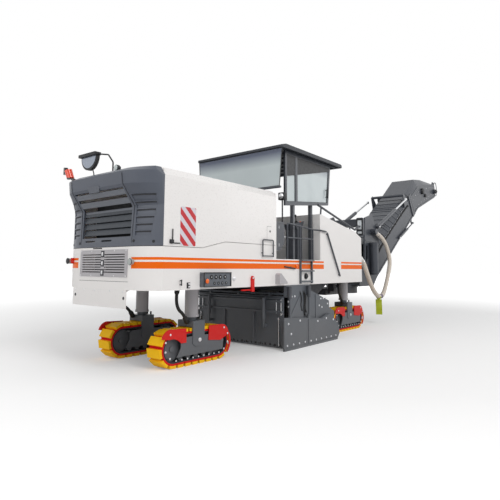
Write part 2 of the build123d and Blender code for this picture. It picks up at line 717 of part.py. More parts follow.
# Scraper blade that closes the housing behind the drum, hinged at its top
scraper_hinge_x = housing_rear_x + 50.0
scraper_hinge_z = 1040.0
scraper_half_width = housing_half_width - 70.0
with BuildPart() as scraper_blade:
    scraper_y = (-scraper_half_width, scraper_half_width)
    block((housing_rear_x, housing_rear_x + 40), scraper_y, (20, 1000))
    for rib_z in (680, 880):
        block((housing_rear_x - 45, housing_rear_x), scraper_y, (rib_z, rib_z + 40))
    cross_bar(housing_rear_x - 18, 955, 24, *scraper_y)
    for post_y in (-410, 370):
        block((housing_rear_x - 30, housing_rear_x), (post_y - 40, post_y + 40), (120, 680))
    scraper_cylinder_x = housing_rear_x - 88
    for strut_y in (-730, 730):
        bar((scraper_cylinder_x, strut_y, 560), (scraper_cylinder_x, strut_y, 960), 32)
        bar((scraper_cylinder_x, strut_y, 400), (scraper_cylinder_x, strut_y, 570), 18)
        for lug_z in (412, 926):
            block((scraper_cylinder_x - 15, housing_rear_x), (strut_y - 22, strut_y + 22),
                  (lug_z, lug_z + 50))
    with Locations(*[(housing_rear_x + 20, hole_y, 66) for hole_y in range(-1080, 1081, 90)]):
        Cylinder(16, 60, rotation=(0, 90, 0), mode=Mode.SUBTRACT)
    hinge_half_length = housing_half_width - 60 - seat
    cross_bar(scraper_hinge_x, scraper_hinge_z, 25, -hinge_half_length, hinge_half_length)
    for lug_y in (-800, 0, 800):
        block((housing_rear_x, scraper_hinge_x + 20), (lug_y - 25, lug_y + 25), (960, scraper_hinge_z))
scraper_blade.part.label = "scraper_blade"
export_step(scraper_blade.part, "parts/scraper_blade.step")

# Canopy: roof, posts, window frames and glass
roof_x = (rear_x + 3120.0, rear_x + 5640.0)
roof_half_width = 1180.0
roof_low_z = 3915.0
canopy_y = 1000.0
with BuildPart() as canopy_roof:
    plate_xz([(roof_x[0], roof_low_z), (roof_x[0], 3960), (roof_x[0] + 150, 4000), (roof_x[1] - 100, 3985),
              (roof_x[1], 3955), (roof_x[1], roof_low_z)], -roof_half_width, roof_half_width)
    fillet(canopy_roof.edges().filter_by(Axis.Z), radius=60)
    roof_cut_y = roof_half_width - 60
    block((roof_x[0] + 100, roof_x[1] - 100), (-roof_cut_y, roof_cut_y), (roof_low_z - 5, 3960), Mode.SUBTRACT)
    for rib_offset in range(250, 2400, 360):
        block((roof_x[0] + rib_offset - 20, roof_x[0] + rib_offset + 20), (-roof_cut_y - 5, roof_cut_y + 5),
              (roof_low_z + 10, 3970))
    for post_offset in (680, 1380):
        block((roof_x[0] + post_offset - 45, roof_x[0] + post_offset + 45), (-roof_cut_y - 5, roof_cut_y + 5),
              (roof_low_z, 3970))
    pair((roof_x[0] + 95, roof_x[1] - 95), (canopy_y - 15, canopy_y + 60), (roof_low_z, 3970))
    block((roof_x[0] + 30, roof_x[0] + 90), (-roof_cut_y - 5, roof_cut_y + 5), (roof_low_z, 3930))
canopy_roof.part.label = "canopy_roof"
export_step(canopy_roof.part, "parts/canopy_roof.step")

window_rear_x = rear_x + 3430.0
window_front_x = rear_x + 5160.0
window_low_z = (2790.0, 2975.0)
window_high_z = 3850.0
frame_depth = 45.0
rear_glass_x = rear_x + 3170.0
rear_glass_z = 3150.0


def side_windows(inset):
    """Outlines of the large and of the small side window, moved inwards by inset."""
    large_rear = window_rear_x + 450 + inset
    small_rear = window_rear_x + 60 + inset
    small_front = window_rear_x + 370 - inset
    z_high = window_high_z - inset
    return (
        [(large_rear, window_low_z[0] + 125 + inset),
         (window_front_x - 50 - inset, window_low_z[1] + 55 + inset),
         (window_front_x + 50 - inset, z_high), (large_rear, z_high)],
        [(small_rear, window_low_z[0] + 85 + inset), (small_front, window_low_z[0] + 118 + inset),
         (small_front, z_high), (small_rear, z_high)],
    )


with BuildPart() as canopy_frame:
    for side in (-1, 1):
        y_pair = mirrored(canopy_y, canopy_y + frame_depth, side)
        plate_xz([(window_rear_x, window_low_z[0]), (window_front_x, window_low_z[1]),
                  (window_front_x + 120, roof_low_z - seat), (window_rear_x, roof_low_z - seat)], *y_pair)
        for window in side_windows(0):
            plate_xz(window, *mirrored(canopy_y - 5, canopy_y + frame_depth + 5, side), Mode.SUBTRACT)
    for post_x in (rear_x + 3800, rear_x + 4500):
        for side in (-1, 1):
            y_post = mirrored(canopy_y - 70, canopy_y - seat, side)
            block((post_x - 35, post_x + 35), y_post, (platform_z, roof_low_z - seat))
    cross_bar(rear_glass_x + 5, rear_glass_z - 22 - seat, 22, -1110, 1110)
canopy_frame.part.label = "canopy_frame"
export_step(canopy_frame.part, "parts/canopy_frame.step")

with BuildPart() as canopy_glass:
    for side in (-1, 1):
        for window in side_windows(seat):
            plate_xz(window, *mirrored(canopy_y + 18, canopy_y + 26, side))
    plate_yz([(-1085, rear_glass_z), (1085, rear_glass_z), (1150, roof_low_z - seat), (-1150, roof_low_z - seat)],
             rear_glass_x, rear_glass_x + 10)
canopy_glass.part.label = "canopy_glass"
export_step(canopy_glass.part, "parts/canopy_glass.step")

# Rails and ladders of the platform
rail_radius = 17.0
with BuildPart() as platform_rails:
    for side in (-1, 1):
        y_rail = side * (body_half_width - 60)
        y_side = side * (body_half_width + 30)
        y_seat = side * (body_half_width + seat)
        tube([(rear_x + 3390, y_rail, platform_z + seat), (rear_x + 3390, y_rail, 2425),
              (rear_x + 4420, y_rail, 2358), (rear_x + 4550, y_side, 2350), (rear_x + 4769, y_side, 2336)],
             50, rail_radius)
        bar((rear_x + 4700, y_seat, 2340), (rear_x + 4700, side * (body_half_width + 22), 2340), 12)
        bar((rear_x + 3390, y_rail, 2140), (rear_x + 4350, y_rail, 2150), rail_radius - 2)
        for post_x, post_top_z in ((rear_x + 3850, 2395), (rear_x + 4350, 2362)):
            bar((post_x, y_rail, platform_z + seat), (post_x, y_rail, post_top_z), rail_radius - 2)
        tube([(rear_x + 2480, y_side, 1740), (rear_x + 2480, y_side, 2050), (rear_x + 2800, y_side, 2050),
              (rear_x + 2800, y_side, 1740)], 30, 11)
        bar((rear_x + 2480, y_side, 1756), (rear_x + 2800, y_side, 1756), 9)
        for foot_x in (rear_x + 2480, rear_x + 2800):
            bar((foot_x, y_seat, 1810), (foot_x, side * (body_half_width + 24), 1810), 9)
        bar((rear_x + 4812, y_side, 2316), (rear_x + 5378, y_side, 1364), 18)
        for foot_x, foot_z in ((rear_x + 4830, 2286), (rear_x + 5360, 1394)):
            bar((foot_x, y_seat, foot_z), (foot_x, y_side, foot_z), 14)
platform_rails.part.label = "platform_rails"
export_step(platform_rails.part, "parts/platform_rails.step")

# Rails along the top edges of the front body, each with a mirror at its front end
front_slope = degrees(atan2(front_brow[1] - front_top[1], front_brow[0] - front_top[0]))
front_rail_y = 1100.0
with BuildPart() as front_rails:
    for side in (-1, 1):
        rail_y = side * front_rail_y
        tube([(rear_x + 4610, rail_y, 2920), (rear_x + 6390, rail_y, 2490), (rear_x + 6560, rail_y, 2590),
              (rear_x + 6680, rail_y, 2590)], 60, 24)
        for foot_forward, foot_height in ((150, 204), (1560, 110)):
            foot_x, foot_z = along(front_top, front_slope, foot_forward, seat)
            top_x, top_z = along(front_top, front_slope, foot_forward, foot_height)
            bar((foot_x, rail_y, foot_z), (top_x, rail_y, top_z), 18)
            pad_x, pad_z = along(front_top, front_slope, foot_forward, 14)
            bar((foot_x, rail_y, foot_z), (pad_x, rail_y, pad_z), 38)
        with BuildSketch(Plane.YZ.offset(rear_x + 6660)) as mirror_face:
            with Locations((rail_y, 2590)):
                RectangleRounded(190, 460, 40)
        extrude(mirror_face.sketch, amount=55)
front_rails.part.label = "front_rails"
export_step(front_rails.part, "parts/front_rails.step")

with BuildPart() as access_ladders:
    for side in (-1, 1):
        for post_x in (rear_x + 3720, rear_x + 4150):
            y_post = mirrored(body_half_width + seat, body_half_width + 40, side)
            block((post_x, post_x + 30), y_post, (1230, sill_top_z))
        # The lowest step is shallow, so the side plate's rod passes outside it
        for step_z, step_depth in ((1260, 45), (1470, 80), (1680, 80)):
            y_step = mirrored(body_half_width + seat, body_half_width + step_depth, side)
            block((rear_x + 3720, rear_x + 4180), y_step, (step_z, step_z + 25))
access_ladders.part.label = "access_ladders"
export_step(access_ladders.part, "parts/access_ladders.step")

# Operator's consoles
with BuildPart() as operator_consoles:
    for side in (-1, 1):
        y_pair = mirrored(560, 860, side)
        plate_xz([(rear_x + 4150, platform_z), (rear_x + 4330, platform_z), (rear_x + 4330, 2400),
                  (rear_x + 4420, 2560), (rear_x + 4060, 2480), (rear_x + 4150, 2350)], *y_pair)
        y_cabinet = mirrored(930, body_half_width - 40, side)
        plate_xz([(hood_front_x + 60 + seat, 1860), (hood_front_x + 200, 1890), (hood_front_x + 330, 2020),
                  (hood_front_x + 330, 2380), (hood_front_x + 300, 2430), (hood_front_x + 60 + seat, 2430)],
                 *y_cabinet)
operator_consoles.part.label = "operator_consoles"
export_step(operator_consoles.part, "parts/operator_consoles.step")

# Control boxes on the sides of the skirt and the red lifting eyes
with BuildPart() as control_boxes:
    pair((rear_x + 925, rear_x + 1545), (body_half_width + seat, body_half_width + 90), (1245, 1468))
control_boxes.part.label = "control_boxes"
export_step(control_boxes.part, "parts/control_boxes.step")

with BuildPart() as lifting_eyes:
    for side in (-1, 1):
        y_pair = mirrored(body_half_width + seat, body_half_width + 30, side)
        plate_xz([(rear_x + 2165, 1130), (rear_x + 2240, 1130), (rear_x + 2240, 1360), (rear_x + 2215, 1400),
                  (rear_x + 2185, 1400), (rear_x + 2165, 1360)], *y_pair)
        cross_bar(rear_x + 2202.5, 1355, 20, y_pair[0] - 1, y_pair[1] + 1, Mode.SUBTRACT)
lifting_eyes.part.label = "lifting_eyes"
export_step(lifting_eyes.part, "parts/lifting_eyes.step")

# Lamps at the rear corners, their feet cut to the curve of the skirt
with BuildPart() as rear_lamps:
    bar((rear_x + 60, -720, 1620), (rear_x - 50, -720, 1620), 45)
    bar((rear_x + 130, 960, 1640), (rear_x - 30, 960, 1640), 45)
    block((rear_x - 10, rear_x + 130), (885, 915), (1600, 1690))
    extrude(skirt_outline(-seat), amount=skirt_step_z, mode=Mode.SUBTRACT)
rear_lamps.part.label = "rear_lamps"
export_step(rear_lamps.part, "parts/rear_lamps.step")

# Mirror and beacon on the hood
mirror_middle = (rear_x + 60.0, 580.0, 3375.0)
mirror_radius = 225.0
with BuildPart() as hood_mirror:
    tube([(rear_x + 60, -75, hood_top_z + seat), (rear_x + 60, -75, 3190), (rear_x + 60, 60, 3330),
          (rear_x + 60, 420, 3400)], 60, 12)
    tube([(rear_x + 60, 454, hood_top_z + seat), (rear_x + 60, 454, 3070), (rear_x + 60, 520, 3200)], 25, 9)
    mirror_x, mirror_y, mirror_z = mirror_middle
    with BuildSketch(Plane.YZ.offset(mirror_x - 25)) as mirror_shell:
        with BuildLine():
            ThreePointArc((mirror_y - mirror_radius, mirror_z), (mirror_y, mirror_z - 235),
                          (mirror_y + mirror_radius, mirror_z))
            Line((mirror_y + mirror_radius, mirror_z), (mirror_y - mirror_radius, mirror_z))
        make_face()
    extrude(mirror_shell.sketch, amount=60)
    block((mirror_x - 70, mirror_x + 45), (mirror_y - mirror_radius - 15, mirror_y + mirror_radius + 25),
          (mirror_z - 5, mirror_z + 45))
    bar((rear_x + 40, -250, 3065), (rear_x - 10, -250, 3065), 48)
    bar((rear_x + 40, -250, 3065), (rear_x + 62, -250, 3065), 36)
    block((rear_x + 30, rear_x + 60), (-265, -235), (hood_top_z + seat, 3040))
hood_mirror.part.label = "hood_mirror"
export_step(hood_mirror.part, "parts/hood_mirror.step")

beacon_x = rear_x + 20.0
beacon_y = 985.0
with BuildPart() as hood_beacon:
    bar((beacon_x, beacon_y, hood_top_z + seat), (beacon_x, beacon_y, 3030), 40)
    bar((beacon_x, beacon_y, 3020), (beacon_x - 35, beacon_y + 55, 3060), 26)
    bar((beacon_x - 35, beacon_y + 55, 3050), (beacon_x - 60, beacon_y + 95, 3190), 62)
    bar((beacon_x - 20, beacon_y + 30, 3040), (beacon_x - 40, beacon_y + 215, 3150), 12)
    bar((beacon_x - 40, beacon_y + 215, 3130), (beacon_x - 40, beacon_y + 215, 3250), 38)
hood_beacon.part.label = "hood_beacon"
export_step(hood_beacon.part, "parts/hood_beacon.step")

# Primary conveyor from the drum housing up to the slewing hopper
primary_half_width = 400.0
primary_rise = 27.8
primary_start = (rear_x + 5010.0, 760.0)
primary_run = 3060.0


with BuildPart() as primary_conveyor:
    plate_xz(sloped(primary_start, primary_rise, [(0, -200), (primary_run, -200), (primary_run, 200), (0, 200)]),
             -primary_half_width, primary_half_width)
    plate_xz(sloped(primary_start, primary_rise, [
        (-10, -60), (primary_run + 10, -60), (primary_run + 10, 170), (-10, 170)]),
        -primary_half_width + wall, primary_half_width - wall, Mode.SUBTRACT)
primary_conveyor.part.label = "primary_conveyor"
export_step(primary_conveyor.part, "parts/primary_conveyor.step")

# Console at the front of the chassis that carries the slewing mast
console_top_z = 1020.0
turntable_radius = 440.0
with BuildPart() as conveyor_console:
    block((rear_x + 6300, slew_x), (-300, 300), (860, console_top_z))
    bar((slew_x, 0, 860), (slew_x, 0, console_top_z), turntable_radius - 20)
    pair((front_body_x - 120, front_body_x - wall - seat), (primary_half_width + seat, 470 - seat),
         (rail_bottom_z, rail_top_z))
    pair((rear_x + 6420, front_body_x - wall - seat), (300, 465), (950, rail_bottom_z))
    pair((rear_x + 6420, front_body_x - wall - seat), (250, 350), (900, 1000))
conveyor_console.part.label = "conveyor_console"
export_step(conveyor_console.part, "parts/conveyor_console.step")

# Slewing mast: turntable, two cheeks and a cross head that anchors the stays
cheek_inner_y = 600.0
cheek_outer_y = 640.0
cheek_profile = [(-200, 1050), (700, 1050), (1080, 1400), (1140, 2550), (700, 3100), (230, 2970), (170, 2300),
                 (140, 1660), (-200, 1330)]
cheek_window = [(220, 1560), (400, 1800), (400, 2180), (260, 2180)]
stay_foot_x = slew_x + 1000.0
stay_foot_z = 2860.0
column_x = slew_x + 550.0
column_radius = 115.0
with BuildPart() as slewing_mast:
    bar((slew_x, 0, console_top_z + seat), (slew_x, 0, console_top_z + 70), turntable_radius)
    block((slew_x - 200, slew_x + 350), (-cheek_outer_y, cheek_outer_y),
          (console_top_z + 40, console_top_z + 70))
    for side in (-1, 1):
        plate_xz([(slew_x + x, z) for x, z in cheek_profile], *mirrored(cheek_inner_y, cheek_outer_y, side))
        y_cut = mirrored(cheek_inner_y - 1, cheek_outer_y + 1, side)
        plate_xz([(slew_x + x, z) for x, z in cheek_window], *y_cut, Mode.SUBTRACT)
        cross_bar(stay_foot_x, stay_foot_z - 100, 25, *mirrored(cheek_outer_y, cheek_outer_y + 90, side))
        column_y = side * (cheek_outer_y + column_radius - 20)
        bar((column_x, column_y, 1360), (column_x, column_y, 2270), column_radius)
        bar((column_x, column_y, 2200), (column_x, column_y, 2260), column_radius + 14)
        bar((column_x, column_y, 1400), (column_x, column_y, 1450), column_radius + 14)
        y_rim = mirrored(cheek_outer_y, cheek_outer_y + 12, side)
        plate_xz([(slew_x + 205, 2300), (slew_x + 1115, 2300), (slew_x + 1135, 2345), (slew_x + 212, 2345)], *y_rim)
    block((slew_x + 300, slew_x + 700), (-cheek_inner_y, cheek_inner_y), (2750, 2950))
    hose_elbow = hose_end(-90)
    bar(hose_end(-seat), hose_elbow, hose_radius + 12)
    cross_bar(hose_elbow.X, hose_elbow.Z, hose_radius + 20, -cheek_outer_y - 156, -cheek_outer_y)
    cross_bar(lift_x, lift_z, pin_radius + pin_clearance, -cheek_outer_y - 1, cheek_outer_y + 1, Mode.SUBTRACT)
slewing_mast.part.label = "slewing_mast"
export_step(slewing_mast.part, "parts/slewing_mast.step")


# Dust hose that hangs free between the front body and the mast, so that the mast can slew
def arc_radii(points):
    """Radius at each corner: 0.45 of the shorter run over the tangent of half the turn."""
    radii = []
    for before, corner, after in zip(points, points[1:], points[2:]):
        first = Vector(*corner) - Vector(*before)
        second = Vector(*after) - Vector(*corner)
        half_turn = radians(first.get_angle(second) / 2)
        radii.append(0.45 * min(first.length, second.length) / tan(half_turn))
    return radii


hose_radii = arc_radii(hose_route)
print("dust hose radii", [round(radius) for radius in hose_radii])
with BuildPart() as dust_hose:
    with BuildLine() as hose_line:
        FilletPolyline(*hose_route, radius=hose_radii)
    hose_path = hose_line.wires()[0]
    with BuildSketch(Plane(origin=hose_path @ 0, z_dir=hose_path % 0)):
        Circle(hose_radius)
    sweep(path=hose_path)
section_area = pi * hose_radius**2
print("dust hose length", round(hose_path.length), "by volume", round(dust_hose.part.volume / section_area))
dust_hose.part.label = "dust_hose"
export_step(dust_hose.part, "parts/dust_hose.step")

# Discharge conveyor, lower section
trunk_origin = (lift_x, lift_z)
pipe_station = trunk_length - 510.0
fold_point = along(trunk_origin, conveyor_rise, trunk_length + fold_gap / 2, -trunk_below - 30)
knuckle_inner_y = conveyor_half_width - 180.0
knuckle_outer_y = conveyor_half_width - 90.0
side_above = 270.0
cover_flat = 400.0
cover_sheet = 20.0
cover_panels = (
    # start and end along the trunk, height of the flat top
    (870.0, 2000.0, trunk_above - 24),
    (2000.0, 3130.0, trunk_above - 12),
    (3130.0, trunk_length, trunk_above),
)


def cover_section(top, inset, lap):
    """Outline of a cover across the conveyor, its sheet line moved inwards by inset."""
    y_foot = conveyor_half_width - 12 - inset
    y_flat = cover_flat - 0.5 * inset
    return [(-y_foot, side_above - lap), (-y_foot, side_above), (-y_flat, top - inset), (y_flat, top - inset),
            (y_foot, side_above), (y_foot, side_above - lap)]


with BuildPart() as conveyor_trunk:
    plate_xz(sloped(trunk_origin, conveyor_rise, [
        (-100, -trunk_below), (trunk_length, -trunk_below), (trunk_length, side_above), (700, side_above),
        (300, 240), (-200, 200), (-330, 0), (-300, -250)]), -conveyor_half_width, conveyor_half_width)
    plate_xz(sloped(trunk_origin, conveyor_rise, [
        (-100, 0), (trunk_length + 10, 0), (trunk_length + 10, trunk_above), (-180, trunk_above), (-180, 150)]),
        -conveyor_half_width + wall, conveyor_half_width - wall, Mode.SUBTRACT)
    plate_xz(sloped(trunk_origin, conveyor_rise, [
        (-80, -trunk_below + wall), (trunk_length + 10, -trunk_below + wall), (trunk_length + 10, -wall),
        (-260, -wall), (-250, -240)]), -conveyor_half_width + wall, conveyor_half_width - wall, Mode.SUBTRACT)
    for panel_start, panel_end, panel_top in cover_panels:
        across(trunk_origin, conveyor_rise, panel_start, panel_end, cover_section(panel_top, 0, 6))
    for panel_start, panel_end, panel_top in cover_panels:
        across(trunk_origin, conveyor_rise, panel_start - 1, panel_end + 1,
               cover_section(panel_top, cover_sheet, 60), Mode.SUBTRACT)
    for side in (-1, 1):
        y_flange = mirrored(conveyor_half_width, conveyor_half_width + 14, side)
        for low, high, start in ((-trunk_below, -trunk_below + 45, 0), (side_above - 28, side_above, 700)):
            plate_xz(sloped(trunk_origin, conveyor_rise, [
                (start, low), (trunk_length, low), (trunk_length, high), (start, high)]), *y_flange)
        y_end = mirrored(conveyor_half_width, conveyor_half_width + 30, side)
        plate_xz(sloped(trunk_origin, conveyor_rise, [
            (trunk_length - 130, -trunk_below), (trunk_length, -trunk_below), (trunk_length, 400),
            (trunk_length - 70, 440), (trunk_length - 130, 340)]), *y_end)
        fold_y = side * (conveyor_half_width + 42)
        barrel_points = sloped(trunk_origin, conveyor_rise, [(2470, -300), (3300, -425), (3880, -512)])
        barrel_ends = [(x, fold_y, z) for x, z in barrel_points]
        bar(barrel_ends[0], barrel_ends[1], 36)
        bar(barrel_ends[1], barrel_ends[2], 19)
        for eye_x, eye_z in (barrel_points[0], barrel_points[2]):
            cross_bar(eye_x, eye_z, 30, *mirrored(conveyor_half_width - 5, conveyor_half_width + 70, side))
        y_lug = mirrored(conveyor_half_width - 20, conveyor_half_width, side)
        plate_xz(sloped(trunk_origin, conveyor_rise, [
            (3790, -trunk_below + 5), (3970, -trunk_below + 5), (3905, -545), (3855, -545)]), *y_lug)
    for side in (-1, 1):
        cross_bar(lift_x, lift_z, pin_radius, *mirrored(conveyor_half_width, cheek_outer_y - 10, side))
    pipe_point = along(trunk_origin, conveyor_rise, pipe_station, trunk_above + 190)
    for side in (-1, 1):
        y_pair = mirrored(conveyor_half_width, conveyor_half_width + 30, side)
        plate_xz(sloped(trunk_origin, conveyor_rise, [
            (pipe_station - 180, side_above - 20), (pipe_station + 160, side_above - 20), (pipe_station + 60, trunk_above + 230),
            (pipe_station - 60, trunk_above + 230)]), *y_pair)
    cross_bar(*pipe_point, 45, -conveyor_half_width, conveyor_half_width)
    for side in (-1, 1):
        y_pair = mirrored(knuckle_inner_y, knuckle_outer_y - seat, side)
        plate_xz([fold_point, along(fold_point, conveyor_rise, 0, 28), along(fold_point, conveyor_rise, -120, 60),
                  along(fold_point, conveyor_rise, -120, 10)], *y_pair)
        cross_bar(*fold_point, 24, *y_pair)
conveyor_trunk.part.label = "conveyor_trunk"
export_step(conveyor_trunk.part, "parts/conveyor_trunk.step")

# Discharge conveyor, folding head
head_start = along(trunk_origin, conveyor_rise, trunk_length + fold_gap, -trunk_below)
bend = along(head_start, conveyor_rise, 520, 0)
bend_rise = (conveyor_rise + head_angle) / 2
tip_drum = (rear_x + 14555.0, 4590.0)
tip_drum_radius = 180.0
head_cover_rows = (
    # x, z of the cover's side edge, z of its flat top
    (rear_x + 11500.0, 3772.0, 3987.0),
    (rear_x + 12670.0, 4535.0, 4810.0),
    (rear_x + 13360.0, 4700.0, 4900.0),
    (rear_x + 14480.0, 4860.0, 4935.0),
)


def head_line(up, last_x, last_z):
    """Bent line at a height above the head's underside, from its start to a last point."""
    bend_up = up / cos(radians((conveyor_rise - head_angle) / 2))
    return [along(head_start, conveyor_rise, 0, up), along(bend, bend_rise, 0, bend_up), (last_x, last_z)]


def head_cover(inset, foot, mode):
    """Hipped cover of the head, its sheet line moved inwards by inset."""
    y_foot = conveyor_half_width - 12 - inset
    y_flat = cover_flat - 0.5 * inset
    sections = []
    for x, side_z, top_z in head_cover_rows:
        with BuildSketch(Plane.YZ.offset(x)) as section:
            with BuildLine():
                Polyline((-y_foot, side_z - foot), (-y_foot, side_z), (-y_flat, top_z - inset),
                         (y_flat, top_z - inset), (y_foot, side_z), (y_foot, side_z - foot), close=True)
            make_face()
        sections.append(section.sketch)
    loft(sections, ruled=True, mode=mode)


with BuildPart() as conveyor_head:
    side_edge = [(x, side_z) for x, side_z, top_z in head_cover_rows]
    plate_xz([head_start, bend, (rear_x + 14600, 4366), (rear_x + 14735, 4430), (rear_x + 14740, 4600),
              (rear_x + 14640, 4890), (rear_x + 14540, 4965), (rear_x + 14440, 4960),
              (rear_x + 14380, 4846)] + side_edge[2:0:-1]
             + [along(head_start, conveyor_rise, 0, trunk_below + side_above)],
             -conveyor_half_width, conveyor_half_width)
    y_inner = conveyor_half_width - wall
    plate_xz([(rear_x + 11300, 3500)] + head_line(trunk_below, rear_x + 14900, 4873)
             + [(rear_x + 14900, 5200), (rear_x + 11300, 5200)], -y_inner, y_inner, Mode.SUBTRACT)
    plate_xz(head_line(wall, rear_x + 14340, 4312) + head_line(trunk_below - wall, rear_x + 14340, 4660)[::-1],
             -y_inner, y_inner, Mode.SUBTRACT)
    plate_xz([(rear_x + 14330, 4309), (rear_x + 14600, 4398), (rear_x + 14900, 4398), (rear_x + 14900, 5200),
              (rear_x + 14330, 5200)], -y_inner, y_inner, Mode.SUBTRACT)
    head_cover(0, 5, Mode.ADD)
    head_cover(cover_sheet, 40, Mode.SUBTRACT)
    plate_xz(sloped(head_start, conveyor_rise, [(0, -50), (0, 1200), (-900, 1200), (-900, -50)]),
             -conveyor_half_width - 100, conveyor_half_width + 100, Mode.SUBTRACT)
    cross_bar(*tip_drum, tip_drum_radius, -y_inner + 20, y_inner - 20)
    cross_bar(*tip_drum, 45, -conveyor_half_width, conveyor_half_width)
    for side in (-1, 1):
        y_flange = mirrored(conveyor_half_width, conveyor_half_width + 14, side)
        plate_xz([head_start, bend, (rear_x + 14560, 4353)] + head_line(45, rear_x + 14560, 4401)[::-1], *y_flange)
        plate_xz([along(head_start, conveyor_rise, 0, trunk_below + side_above - 28)]
                 + [(x, z - 28) for x, z in side_edge[1:3]] + side_edge[2:0:-1]
                 + [along(head_start, conveyor_rise, 0, trunk_below + side_above)], *y_flange)
        y_end = mirrored(conveyor_half_width, conveyor_half_width + 30, side)
        plate_xz(sloped(head_start, conveyor_rise, [(0, 0), (100, 0), (100, 730), (50, 820), (0, 790)]), *y_end)
        cross_bar(*tip_drum, 95, *mirrored(conveyor_half_width, conveyor_half_width + 45, side))
        cross_bar(tip_drum[0], tip_drum[1], 55, *mirrored(conveyor_half_width, conveyor_half_width + 75, side))
        bow_y = side * (conveyor_half_width + 25)
        tube([(rear_x + 14560, bow_y, 4900), (rear_x + 14600, bow_y, 4960), (rear_x + 14760, bow_y, 4960),
              (rear_x + 14824, bow_y, 4800), (rear_x + 14824, bow_y, 4600), (rear_x + 14760, bow_y, 4450),
              (rear_x + 14680, bow_y, 4440)], 25, 13)
        for foot_x, foot_z in ((rear_x + 14575, 4922), (rear_x + 14715, 4444)):
            cross_bar(foot_x, foot_z, 11, *mirrored(conveyor_half_width, conveyor_half_width + 27, side))
    for side in (-1, 1):
        y_pair = mirrored(knuckle_outer_y, conveyor_half_width, side)
        plate_xz([fold_point, along(fold_point, conveyor_rise, 0, 28), along(fold_point, conveyor_rise, 120, 60),
                  along(fold_point, conveyor_rise, 120, 10)], *y_pair)
        cross_bar(*fold_point, 24, *y_pair)
conveyor_head.part.label = "conveyor_head"
export_step(conveyor_head.part, "parts/conveyor_head.step")

# Stays that lift the conveyor: barrels on the mast, rods at the trunk
stay_y = cheek_outer_y + 45.0
stay_foot = (stay_foot_x, stay_foot_z - 100)
stay_eye = along(trunk_origin, conveyor_rise, pipe_station - 180, 560)
stay_length = hypot(stay_eye[0] - stay_foot[0], stay_eye[1] - stay_foot[1])
stay_rise = degrees(atan2(stay_eye[1] - stay_foot[1], stay_eye[0] - stay_foot[0]))
barrel_length = 1500.0
barrel_radius = 55.0
stay_rod_radius = 28.0


def stay_point(distance, side):
    x, z = along(stay_foot, stay_rise, distance, 0)
    return (x, side * stay_y, z)


with BuildPart() as stay_barrels:
    for side in (-1, 1):
        bar(stay_point(40, side), stay_point(barrel_length, side), barrel_radius)
        bar(stay_point(120, side), stay_point(barrel_length + 1, side), stay_rod_radius + rod_clearance,
            Mode.SUBTRACT)
        cross_bar(*stay_foot, 60, *mirrored(stay_y - 30, stay_y + 30, side))
        cross_bar(*stay_foot, 25.6, *mirrored(stay_y - 60, stay_y + 60, side), Mode.SUBTRACT)
stay_barrels.part.label = "stay_barrels"
export_step(stay_barrels.part, "parts/stay_barrels.step")

with BuildPart() as stay_rods:
    for side in (-1, 1):
        bar(stay_point(barrel_length - 200, side), stay_point(stay_length, side), stay_rod_radius)
        cross_bar(*stay_eye, 45, *mirrored(stay_y - 25, stay_y + 25, side))
stay_rods.part.label = "stay_rods"
export_step(stay_rods.part, "parts/stay_rods.step")
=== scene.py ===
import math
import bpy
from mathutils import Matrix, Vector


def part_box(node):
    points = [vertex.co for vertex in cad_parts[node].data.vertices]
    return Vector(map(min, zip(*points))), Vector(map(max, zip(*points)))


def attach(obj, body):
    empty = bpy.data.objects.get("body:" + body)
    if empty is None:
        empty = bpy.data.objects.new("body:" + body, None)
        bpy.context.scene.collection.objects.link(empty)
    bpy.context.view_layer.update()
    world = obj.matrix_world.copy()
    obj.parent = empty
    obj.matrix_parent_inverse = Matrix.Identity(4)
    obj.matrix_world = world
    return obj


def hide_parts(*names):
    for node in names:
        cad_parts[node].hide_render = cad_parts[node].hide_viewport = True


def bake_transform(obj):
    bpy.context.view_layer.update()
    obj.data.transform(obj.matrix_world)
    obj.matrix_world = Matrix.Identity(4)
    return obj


bl_info = {
    "name": "Cold planer dressing",
    "version": (1, 0, 0),
    "blender": (4, 5, 0),
    "location": "View3D > Sidebar > Cold planer",
    "description": "Finishes and small fittings of a cold planer milling machine around its packed frame",
    "category": "Object",
}

import bmesh
import bpy
from mathutils import Matrix, Vector

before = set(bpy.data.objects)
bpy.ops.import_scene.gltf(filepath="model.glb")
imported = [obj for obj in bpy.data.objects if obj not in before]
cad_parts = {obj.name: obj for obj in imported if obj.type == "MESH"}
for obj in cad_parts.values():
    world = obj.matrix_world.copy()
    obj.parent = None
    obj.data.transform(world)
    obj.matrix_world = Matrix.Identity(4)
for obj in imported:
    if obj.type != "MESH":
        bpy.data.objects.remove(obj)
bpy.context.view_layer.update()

# Places taken from the frame
rear_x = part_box("rear_skirt")[0].x
rear_track_low, rear_track_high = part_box("track_rear_right")
front_track_low, front_track_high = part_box("track_front_right")
rear_track_x = (rear_track_low.x + rear_track_high.x) / 2
front_track_x = (front_track_low.x + front_track_high.x) / 2
track_middle_x = (rear_track_x + front_track_x) / 2
track_half_spacing = (front_track_x - rear_track_x) / 2
track_centre_z = (rear_track_low.z + rear_track_high.z) / 2
track_half_straight = (rear_track_high.x - rear_track_low.x - rear_track_high.z + rear_track_low.z) / 2

# Faces that the fittings stand on, as distances from the middle plane
HOOD_FACE, SKIRT_FACE, BOX_FACE = 1.1740, 1.1745, 1.2652
THIN_PLATE_FACE, THICK_PLATE_FACE, HOUSING_FACE = 1.2655, 1.2755, 1.1955
GUARD_FACE, TRUNK_FACE, CABINET_FACE, WINDOW_FACE = 0.827, 0.5645, 1.1345, 1.027

SIDES = (-1, 1)
CORNERS = ("rear_right", "rear_left", "front_right", "front_left")
REARWARD = (-1, 0, 0)


